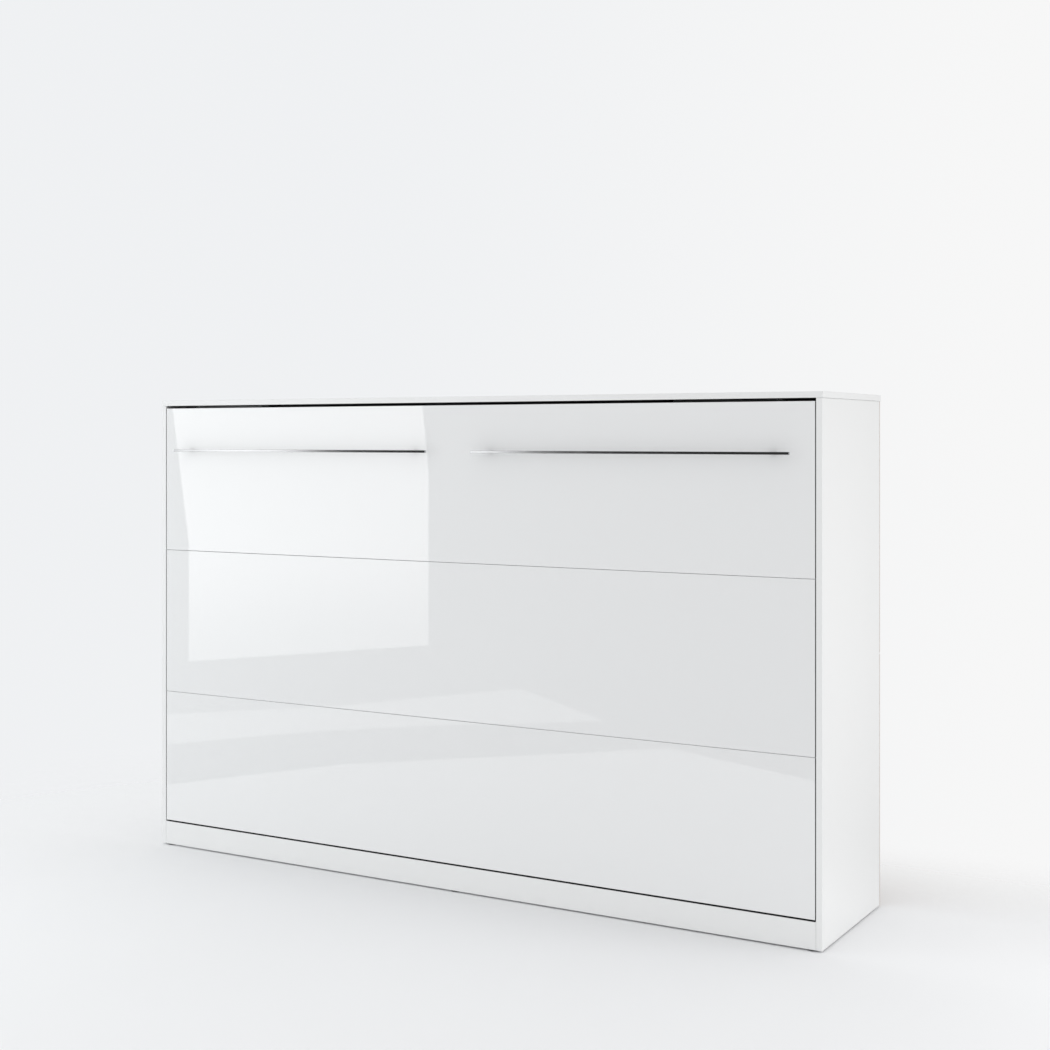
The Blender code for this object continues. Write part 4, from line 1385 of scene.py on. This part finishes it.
@dataclass
class Mattress:
    """A foam mattress: swollen by a cloth simulation, then quilted, taped round its edges and zipped."""

    node: str = "mattress"
    body: str = "bed_leaf"
    start_inset: float = 0.011
    corner: float = 0.022
    voxel: float = 0.016
    pressure: float = 4.0
    last_frame: int = 20
    farthest: float = 0.024
    proud: float = 0.002
    quilt_pitch: float = 0.150
    quilt_depth: float = 0.0085
    quilt_soft: float = 0.020
    seam_inset: float = 0.020
    seam_depth: float = 0.004
    seam_soft: float = 0.006
    tape_radius: float = 0.0042
    zip_offset: float = 0.030
    zip_stand: float = 0.0009
    zip_tape: tuple[float, float] = (0.010, 0.0016)
    zip_ridge: tuple[float, float] = (0.0034, 0.0022)
    slider: tuple[float, float] = (0.0092, 0.0046)
    pull_tab: tuple[float, float] = (0.0062, 0.0012)

    def __post_init__(self) -> None:
        """Takes the mattress's place from its node."""
        low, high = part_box(self.node)
        self.low, self.high = np.array(low), np.array(high)
        self.middle = (self.low + self.high) / 2
        self.half = (self.high - self.low) / 2

    def build(self) -> bpy.types.Object:
        """Makes the mattress, its tapes and its zip.

        Returns:
            The mattress.
        """
        piece = self.blank()
        self.swell(piece)
        self.apply(piece, "SUBSURF", {"levels": 1, "render_levels": 1})
        self.quilt(piece)
        tree = BVHTree.FromObject(piece, bpy.context.evaluated_depsgraph_get())
        piece.data.shade_smooth()
        piece.data.materials.append(self.finish().material())
        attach(piece, self.body)
        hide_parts(self.node)
        LOG.info("mattress: %d faces", len(piece.data.polygons))
        for label, sign in (("front", -1), ("back", 1)):
            path = self.loop(sign * (self.half[1] - self.seam_inset), tree)
            tape = swept(self.tape_radius * circle(10), path, (0, 1, 0), joined=True)
            make_piece(f"mattress_tape_{label}", tape, TAPE.material(), self.body, 80.0)
        self.add_zip(tree)
        return piece

    def finish(self) -> Ticking:
        """The cover's finish, with its border between the two tapes."""
        border = self.half[1] - self.seam_inset
        return Ticking("mattress_ticking", (0.80, 0.80, 0.79), 0.88, middle=self.middle[1], border=border)

    def blank(self) -> bpy.types.Object:
        """Makes the slightly smaller shape that the simulation swells.

        Each point of a ball is carried out to the corner of the core that it faces, which gives a box with
        round edges.

        Returns:
            An object with an even mesh.
        """
        turn = (np.arange(32) + 0.5) * math.tau / 32
        rise = np.linspace(-math.pi / 2, math.pi / 2, 18)[1:-1, None]
        flat = np.cos(rise)
        ball = np.stack([flat * np.cos(turn), flat * np.sin(turn), np.sin(rise) + 0 * turn], -1)
        core = self.half - self.start_inset - self.corner
        shape = loft(self.middle + np.where(ball >= 0, 1, -1) * core + ball * self.corner)
        piece = add_object("mattress_quilted", shape.points, shape.faces())
        self.apply(piece, "REMESH", {"mode": "VOXEL", "voxel_size": self.voxel})
        return piece

    @staticmethod
    def apply(piece: bpy.types.Object, kind: str, settings: Mapping[str, Any]) -> None:
        """Adds a modifier and makes its result the piece's mesh.

        Args:
            piece: the object.
            kind: the modifier's type.
            settings: its properties.
        """
        modifier = piece.modifiers.new(kind.lower(), kind)
        for name, value in settings.items():
            setattr(modifier, name, value)
        graph = bpy.context.evaluated_depsgraph_get()
        mesh = bpy.data.meshes.new_from_object(piece.evaluated_get(graph))
        piece.modifiers.remove(modifier)
        piece.data = mesh

    def swell(self, piece: bpy.types.Object) -> None:
        """Blows the cover up from inside with a cloth simulation, and caps how far it moves.

        Args:
            piece: the mattress, whose mesh is moved.
        """
        before = self.read(piece)
        cloth = piece.modifiers.new("cloth", "CLOTH")
        cloth.settings.use_pressure = True
        cloth.settings.uniform_pressure_force = self.pressure
        cloth.settings.effector_weights.gravity = 0.0
        cloth.settings.quality = 5
        cloth.point_cache.frame_start = 1
        cloth.point_cache.frame_end = self.last_frame
        for number in range(1, self.last_frame + 1):
            bpy.context.scene.frame_set(number)
        evaluated = piece.evaluated_get(bpy.context.evaluated_depsgraph_get())
        after = self.read(evaluated)
        piece.modifiers.remove(cloth)
        bpy.context.scene.frame_set(1)
        moved = after - before
        length = np.linalg.norm(moved, axis=1, keepdims=True)
        moved *= np.minimum(1.0, self.farthest / np.maximum(length, 1e-9))
        LOG.info("mattress: swelled by %.1f mm at most", 1000 * float(np.linalg.norm(moved, axis=1).max()))
        low, high = self.low - self.proud, self.high + self.proud
        low[1] = self.low[1]
        self.write(piece, np.clip(before + moved, low, high))

    @staticmethod
    def read(piece: bpy.types.Object) -> np.ndarray:
        """The places of an object's points."""
        places = np.empty(len(piece.data.vertices) * 3, np.float32)
        piece.data.vertices.foreach_get("co", places)
        return places.reshape(-1, 3).astype(float)

    @staticmethod
    def write(piece: bpy.types.Object, points: np.ndarray) -> None:
        """Moves an object's points."""
        piece.data.vertices.foreach_set("co", points.astype(np.float32).ravel())
        piece.data.update()

    def quilt(self, piece: bpy.types.Object) -> None:
        """Sinks the stitch lines of the quilting into both panels, and the seams into the sides.

        The quilting is a diamond net: a point sinks by depth * exp(-d / soft), where d is how far it is
        from the nearest of two sets of slanted lines. The seams sink by depth * exp(-(d / soft)^2).

        Args:
            piece: the mattress.
        """
        points = self.read(piece)
        local = points - self.middle
        slant = np.stack([local[:, 0] + local[:, 2], local[:, 0] - local[:, 2]]) / self.quilt_pitch
        to_line = np.abs(slant - np.round(slant)).min(axis=0) * self.quilt_pitch / math.sqrt(2)
        sink = self.quilt_depth * np.exp(-to_line / self.quilt_soft)
        facing = np.empty(len(points) * 3, np.float32)
        piece.data.vertex_normals.foreach_get("vector", facing)
        panel = np.clip((np.abs(facing.reshape(-1, 3)[:, 1]) - 0.75) / 0.2, 0, 1)
        points[:, 1] -= np.sign(local[:, 1]) * sink * panel
        to_seam = np.abs(np.abs(local[:, 1]) - (self.half[1] - self.seam_inset))
        pull = self.seam_depth * np.exp(-((to_seam / self.seam_soft) ** 2))
        flat = local * (1, 0, 1)
        edge = np.abs(flat) - (self.half - 0.05) * (1, 0, 1)
        direction = np.sign(flat) * np.clip(edge, 0, None)
        length = np.linalg.norm(direction, axis=1, keepdims=True)
        points -= direction / np.maximum(length, 1e-9) * pull[:, None] * (length > 0.02)
        self.write(piece, points)

    def loop(self, depth: float, tree: BVHTree, stand: float = 0.0) -> np.ndarray:
        """Runs a loop round the mattress's side on its surface.

        Args:
            depth: how far behind the middle the loop lies.
            tree: the mattress's surface.
            stand: how far it stands off the surface.

        Returns:
            The loop's points.
        """
        width, height = 2 * self.half[0] - 0.02, 2 * self.half[2] - 0.02
        corners = rounded_rectangle(width, height, 0.035, 8)
        following = np.roll(corners, -1, 0)
        counts = np.maximum(1, np.round(np.linalg.norm(following - corners, axis=1) / 0.02)).astype(int)
        outline = np.concatenate([
            start + (end - start) * (np.arange(count) / count)[:, None]
            for start, end, count in zip(corners, following, counts)
        ])
        line = np.column_stack([outline[:, 0], np.full(len(outline), depth), outline[:, 1]]) + self.middle
        nearest = [tree.find_nearest(Vector(point)) for point in line]
        on_cover = np.array([place + facing * stand for place, facing, _, _ in nearest])
        on_cover[:, 1] = line[:, 1]
        return (np.roll(on_cover, 1, 0) + 2 * on_cover + np.roll(on_cover, -1, 0)) / 4

    def add_zip(self, tree: BVHTree) -> None:
        """Adds the zip round the border: its tape, the coil down the tape's middle, and the slider.

        The coil is a low ridge that starts and ends under the slider. Its turns follow its own length.

        Args:
            tree: the mattress's surface.
        """
        path = self.loop(self.zip_offset, tree, self.zip_stand)
        tape = swept(rounded_rectangle(*self.zip_tape, 0.0007, 2), path, (0, 1, 0), joined=True)
        make_piece("mattress_zip_tape", tape, DARK_PLASTIC.material(), self.body, 50.0)
        run = np.vstack([path, path[:1]])[::-1]
        ridge = rounded_rectangle(*self.zip_ridge, 0.0010, 3) + (0.0, 0.0010)
        coil = swept(ridge, run, (0, 1, 0), fields={"along": distances(run)})
        make_piece("mattress_zip_coil", coil, ZIP_COIL.material(), self.body, 60.0)
        spot, aside, upwards = path[0], np.array([1.0, 0.0, 0.0]), np.array([0.0, 0.0, 1.0])
        shank = spot + aside * 0.0022 + np.outer((-0.0070, -0.0050, 0.0050, 0.0070), upwards)
        slider = swept(rounded_rectangle(*self.slider, 0.0016, 3), shank, (0, 1, 0))
        pull = np.array([spot + 0.0035 * upwards, spot - 0.0065 * upwards, path[-1], path[-2]])
        pull += aside * np.array([0.0052, 0.0050, 0.0026, 0.0026])[:, None]
        tab = swept(rounded_rectangle(*self.pull_tab, 0.0005, 2), pull, (0, 1, 0))
        make_piece("mattress_zip_slider", gather([slider, tab]), ZINC.material(), self.body)


# Straps


@dataclass
class Strap:
    """A strap round the mattress with its ladder buckle, screwed to the frame's rails at both ends."""

    side: Side
    width: float = 0.040
    thickness: float = 0.0018
    gap: float = 0.0003
    buckle_height: float = 0.95
    tail: float = 0.14
    tail_lift: float = 0.006
    body: str = "bed_leaf"

    def build(self, mattress: bpy.types.Object) -> None:
        """Lays the strap on the mattress and adds its buckle and screws.

        Args:
            mattress: the finished mattress.
        """
        node = f"mattress_strap_{self.side.label}"
        low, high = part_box(node)
        self.x = (low.x + high.x) / 2
        path = self.path(Mattress.read(mattress), low, high)
        strap = self.add_webbing(f"strap_{self.side.label}", path, self.width)
        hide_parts(node)
        self.add_buckle(path)
        self.add_tail(path)
        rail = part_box("frame_rail_top")[1].y + self.thickness + 2 * self.gap
        ends = [path[0, 2] - 0.010, path[-1, 2] + 0.010]
        washer = [(0.0020, 0.0), (0.0085, 0.0), (0.0085, 0.0008), (0.0020, 0.0008)]
        heads = [turned(washer, (self.x, rail, z), (0, 1, 0)) for z in ends]
        heads += [CrossHead().patch((self.x, rail + 0.0008, z), (0, 1, 0), z) for z in ends]
        name = f"strap_screws_{self.side.label}"
        make_piece(name, gather(heads), FASTENER_ZINC.material(), self.body)

    def add_webbing(self, name: str, path: np.ndarray, width: float) -> bpy.types.Object:
        """Makes a length of webbing whose weave follows its own length.

        Args:
            name: the piece's name.
            path: its middle line.
            width: how wide it is.

        Returns:
            The piece.
        """
        profile = rounded_rectangle(width, self.thickness, self.thickness * 0.45, 3)
        patch = swept(profile, path, (1, 0, 0), fields={"along": distances(path)})
        return make_piece(name, patch, WEBBING.material(), self.body, 60.0)

    def path(self, cover: np.ndarray, low: Vector, high: Vector) -> np.ndarray:
        """Finds where a taut strap lies: the mattress's farthest point in each direction from top to bottom.

        Args:
            cover: the mattress's points.
            low: the low corner of the strap's node.
            high: its high corner.

        Returns:
            The points of the strap's middle line.
        """
        near = cover[np.abs(cover[:, 0] - self.x) < self.width * 0.75][:, 1:]
        angle = np.radians(np.linspace(92, -92, 120))
        facing = np.stack([np.cos(angle), np.sin(angle)], -1)
        touch = near[np.argmax(near @ facing.T, axis=0)]
        lift = self.thickness / 2 + self.gap
        line = touch + facing * lift
        tab_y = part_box("frame_rail_top")[1].y + self.gap + self.thickness / 2
        top = [(tab_y, high.z - 0.001), (tab_y, line[0, 1] + 0.006), (tab_y + 0.004, line[0, 1] + 0.001)]
        bottom = [(tab_y + 0.004, line[-1, 1] - 0.001), (tab_y, line[-1, 1] - 0.006), (tab_y, low.z + 0.001)]
        corners = np.vstack([top, line, bottom])
        keep = np.append(True, np.linalg.norm(np.diff(corners, axis=0), axis=1) > 1e-4)
        corners = corners[keep]
        length = distances(corners)
        even = np.linspace(0, length[-1], 500)
        flat = np.column_stack([np.interp(even, length, corners[:, k]) for k in range(2)])
        return np.column_stack([np.full(len(even), self.x), flat])

    def add_buckle(self, path: np.ndarray) -> None:
        """Adds the ladder buckle on the strap's back run, a rounded frame with a bar.

        Args:
            path: the strap's middle line.
        """
        on_back = path[np.argmin(np.abs(path[:, 2] - self.buckle_height))]
        place = on_back + (0, self.thickness / 2 + 0.0030, 0)
        outline = rounded_rectangle(self.width + 0.014, 0.034, 0.007, 5)
        loop = place + np.column_stack([outline[:, 0], np.zeros(len(outline)), outline[:, 1]])
        ring = swept(rounded_rectangle(0.0044, 0.0040, 0.0014, 3), loop, (0, 1, 0), joined=True)
        half = self.width / 2 + 0.0055
        bar_path = place + np.outer((-half, -half / 2, half / 2, half), (1, 0, 0))
        bar = swept(rounded_rectangle(0.0036, 0.0060, 0.0014, 3), bar_path, (0, 1, 0))
        name = f"strap_buckle_{self.side.label}"
        make_piece(name, gather([ring, bar]), DARK_PLASTIC.material(), self.body)

    def add_tail(self, path: np.ndarray) -> None:
        """Adds the strap's tail below the buckle, which lifts off the strap with the square of its length.

        Args:
            path: the strap's middle line.
        """
        below = self.buckle_height - path[:, 2]
        run = path[(below > 0) & (below < self.tail)]
        share = (self.buckle_height - run[:, 2]) / self.tail
        lift = self.thickness + self.gap + self.tail_lift * share**2
        self.add_webbing(f"strap_tail_{self.side.label}", run + np.outer(lift, (0, 1, 0)), self.width - 0.001)


# Gas struts


@dataclass
class Strut:
    """The seal at a gas strut's mouth and the clip on its rod's pin."""

    side: Side
    stand: float = 0.0016
    cylinder_radius: float = 0.011
    eye_radius: float = 0.010

    def build(self) -> None:
        """Dresses the strut's nodes and adds its seal and clip.

        The cylinder leans, so its length is its lowest point's depth, less the tilt of its round end, over
        the cosine of the lean. The rod's pin is on the same line, an eye's radius above the rod's lowest
        point.
        """
        cylinder, rod = f"strut_cylinder_{self.side.label}", f"strut_rod_{self.side.label}"
        dress_nodes([cylinder], BLACK_STEEL.material())
        dress_nodes([rod], ROD_CHROME.material())
        joints = {joint["name"]: joint for joint in frame["joints"]}
        top = np.array(joints[f"strut_swing_{self.side.label}"]["pos_m"])
        run = -np.array(joints[f"strut_stroke_{self.side.label}"]["axis"])
        low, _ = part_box(cylinder)
        lean = abs(run[2])
        length = (top[2] - low.z - self.cylinder_radius * math.sqrt(1 - lean**2)) / lean
        seal = [(0.0058, 0.0), (0.0108, 0.0), (0.0108, self.stand / 2), (0.0090, self.stand)]
        seal.append((0.0058, self.stand))
        mouth = top + run * (length + 0.0001)
        ring = turned(seal, mouth, run, joined=True)
        body = f"cylinder_{self.side.label}_body"
        make_piece(f"strut_seal_{self.side.label}", ring, RUBBER.material(), body)
        rod_low, rod_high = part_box(rod)
        out = rod_high.x if self.side is Side.RIGHT else rod_low.x
        pin_z = rod_low.z + self.eye_radius
        pin_y = top[1] + run[1] * (top[2] - pin_z) / lean
        clip = pin_clip((out, pin_y, pin_z), (self.side.value, 0, 0))
        body = f"rod_{self.side.label}_body"
        make_piece(f"strut_clip_{self.side.label}", clip, FASTENER_ZINC.material(), body)


# Studio


@dataclass(frozen=True)
class Card:
    """A flat card that shows in reflections only, or also lights the scene. It may be dimmer low down."""

    name: str
    corners: tuple[Point, ...]
    brightness: float
    lights: bool = False
    dimming: float = 0.0
    dim_low: float = 0.2
    dim_high: float = 0.8

    def build(self) -> None:
        """Makes the card as part of the stage."""
        card = add_object(self.name, self.corners, [range(len(self.corners))])
        material = bpy.data.materials.new(self.name)
        material.use_nodes = True
        graph = Graph(material.node_tree)
        dimmed = graph.part(Axis.Z).step(self.dim_high, self.dim_low) * self.dimming
        bright = {"Color": (1.0, 1.0, 1.0), "Strength": (1 - dimmed) * self.brightness}
        glow = graph.node("ShaderNodeEmission", inputs=bright)
        graph.feed(material.node_tree.nodes["Material Output"].inputs["Surface"], glow)
        card.data.materials.append(material)
        card.visible_camera = False
        card.visible_shadow = False
        card.visible_diffuse = self.lights
        card.visible_transmission = False


@dataclass
class Studio:
    """The pale floor and background, the soft lights, the cards that the front mirrors, and the camera."""

    camera_place: Point = (2.4234, -4.0217, 1.2680)
    camera_turn: float = 29.93
    lens: float = 55.40
    sensor: float = 36.0
    shift: float = -0.0832
    backdrop_left: Colour = (0.868, 0.880, 0.895)
    backdrop_right: Colour = (0.930, 0.930, 0.930)
    ambient: float = 0.93
    surroundings: float = 0.25
    floor_colour: Colour = (0.860, 0.865, 0.875)
    right_shade: float = 0.045
    floor_middle: Point = (0.4, -0.9, 0.0)
    fade_start: float = 1.3
    fade_end: float = 3.2
    floor_radius: float = 12.0

    def build(self) -> None:
        """Makes the stage."""
        self.add_camera()
        self.add_world()
        self.add_floor()
        for card in self.cards():
            card.build()
        self.add_lights()
        bpy.context.scene.view_settings.view_transform = "Standard"

    def add_camera(self) -> None:
        """Adds the camera, level and shifted so that uprights stay upright."""
        data = bpy.data.cameras.new("camera")
        data.lens, data.sensor_width, data.shift_y = self.lens, self.sensor, self.shift
        camera = bpy.data.objects.new("camera", data)
        camera.location = self.camera_place
        camera.rotation_euler = (math.pi / 2, 0.0, math.radians(self.camera_turn))
        bpy.context.scene.collection.objects.link(camera)
        bpy.context.scene.camera = camera

    def add_world(self) -> None:
        """Lights the scene from all round, with a pale background and darker surroundings in reflections."""
        world = bpy.data.worlds.new("studio")
        world.use_nodes = True
        bpy.context.scene.world = world
        graph = Graph(world.node_tree)
        seen = graph.node("ShaderNodeLightPath", output="Is Camera Ray")
        mirrored = graph.node("ShaderNodeLightPath", output="Is Glossy Ray")
        around = graph.mix(mirrored, (self.ambient,) * 3, (self.surroundings,) * 3)
        turn = math.radians(self.camera_turn)
        heading = graph.node("ShaderNodeTexCoord", output="Generated")
        rightwards = {0: heading, 1: (math.cos(turn), math.sin(turn), 0.0)}
        to_right = graph.node("ShaderNodeVectorMath", {"operation": "DOT_PRODUCT"}, rightwards, "Value")
        backdrop = graph.mix(to_right.step(-0.12, 0.34), self.backdrop_left, self.backdrop_right)
        graph.feed(world.node_tree.nodes["Background"].inputs["Color"], graph.mix(seen, around, backdrop))

    def add_floor(self) -> None:
        """Adds the floor, a disc that fades out into the background far from the bed and behind it. Its
        colour carries painted shade towards the right, and behind the bed the fade puts the bright background
        in place of the floor's shade, which is painted light.
        """
        sides = 48
        radius = np.array([0.5, 2.0, 4.0, 8.0, self.floor_radius])
        rings = (radius[:, None, None] * circle(sides)).reshape(-1, 2)
        points = np.column_stack([np.vstack([rings, (0.0, 0.0)]), np.zeros(len(rings) + 1)])
        fan = [(place, (place + 1) % sides, len(rings)) for place in range(sides)]
        faces = ring_quads(len(radius), sides, False)[:, ::-1].tolist() + fan
        floor = add_object("floor", points, faces)
        material = bpy.data.materials.new("floor")
        material.use_nodes = True
        nodes = material.node_tree.nodes
        graph = Graph(material.node_tree)
        shader = nodes["Principled BSDF"]
        clouds = graph.noise(0.8) * 0.02 + 0.99
        # Painted shade: the floor's colour darkens towards the right.
        clouds *= 1 - graph.part(Axis.X).step(0.2, 1.7) * self.right_shade
        scaled = {0: self.floor_colour, "Scale": clouds}
        tone = graph.node("ShaderNodeVectorMath", {"operation": "SCALE"}, scaled)
        graph.feed(shader.inputs["Base Color"], tone)
        graph.feed(shader.inputs["Roughness"], 0.9)
        graph.feed(shader.inputs["Specular IOR Level"], 0.0)
        ends = {0: graph.place(), 1: self.floor_middle}
        away = graph.node("ShaderNodeVectorMath", {"operation": "DISTANCE"}, ends, "Value")
        # Behind the bed the floor fades to the bright background where it would lie in shade: painted light.
        fade = away.step(self.fade_start, self.fade_end).most(graph.part(Axis.Y).step(0.15, 0.95))
        clear = graph.node("ShaderNodeBsdfTransparent")
        solid = Value(graph, shader.outputs[0])
        mixed = graph.node("ShaderNodeMixShader", inputs={0: fade, 1: solid, 2: clear})
        graph.feed(nodes["Material Output"].inputs["Surface"], mixed)
        floor.data.materials.append(material)

    def cards(self) -> list[Card]:
        """The tall window light, the dark surroundings behind it, and the strips on the floor before it.

        The window stands on a line on the floor. The dark and the lit floor share an edge.

        Returns:
            The cards.
        """
        start, run = np.array([-2.67, -2.13]), np.array([0.53, -0.85])
        outline = ((0.0, 0.23), (1.22, 0.23), (1.22, 1.11), (1.13, 2.0), (-0.15, 2.0), (0.0, 0.78))
        window = tuple((*(start + run * along), height) for along, height in outline)
        far = ((-9.0, -3.0, -0.2), (-9.0, -3.0, 6.0), (1.0, -9.5, 6.0), (1.0, -9.5, -0.2))
        edge = ((-1.65, -0.87), (-1.32, -1.48), (-0.35, -2.41), (0.37, -2.11), (2.5, -1.4))
        dark_floor = (*edge, (2.5, -9.0), (-9.0, -9.0), (-9.0, -0.5))
        lit_floor = ((-2.4, -0.24), *edge, (2.5, -0.24))
        strip = (
            (-2.68, -1.99), (-2.14, -2.59), (-1.66, -3.46), (-0.86, -2.83), (-1.51, -2.32), (-1.83, -1.99),
            (-2.18, -1.45),
        )
        return [
            Card("window_light", window, 2.42, lights=True, dimming=0.4),
            Card("dark_surroundings", far, 0.02),
            Card("dark_floor", tuple((x, y, 0.0015) for x, y in dark_floor), 0.06),
            Card("lit_floor", tuple((x, y, 0.0010) for x, y in lit_floor), 1.05),
            Card("pale_strip", tuple((x, y, 0.0030) for x, y in strip), 0.85),
        ]

    def add_lights(self) -> None:
        """Adds the soft lights that the camera and the gloss front don't see."""
        warm, cool = (1.0, 0.995, 0.99), (0.82, 0.96, 1.0)
        self.add_area("right_light", (2.6, -0.15, 0.85), (1.1, -0.60, 0.75), 1.5, 150.0, 7.0, warm)
        self.add_area("left_light", (-2.6, -2.2, 1.3), (-0.9, -0.3, 0.5), 1.6, 180.0, 9.0, cool)

    def add_area(
        self, name: str, place: Point, target: Point, size: float, spread: float, power: float,
        colour: Colour,
    ) -> None:
        """Adds a square area light.

        Args:
            name: its name.
            place: where it is.
            target: the point that it faces.
            size: its side.
            spread: how wide it shines, in degrees.
            power: its power in watts.
            colour: its colour.
        """
        data = bpy.data.lights.new(name, "AREA")
        data.size, data.energy, data.color = size, power, colour
        data.spread = math.radians(spread)
        light = bpy.data.objects.new(name, data)
        light.location = place
        light.rotation_euler = (Vector(target) - Vector(place)).to_track_quat("-Z", "Y").to_euler()
        light.visible_camera = False
        light.visible_glossy = False
        bpy.context.scene.collection.objects.link(light)


def main() -> None:
    """Builds the stage and every part of the bed in order."""
    logging.basicConfig(level=logging.INFO, format="%(name)s %(message)s")
    Studio().build()
    Cabinet().build()
    BedLeaf().build()
    mattress = Mattress().build()
    for side in Side:
        Strap(side).build(mattress)
        Strut(side).build()


if __name__ == "__main__":
    main()
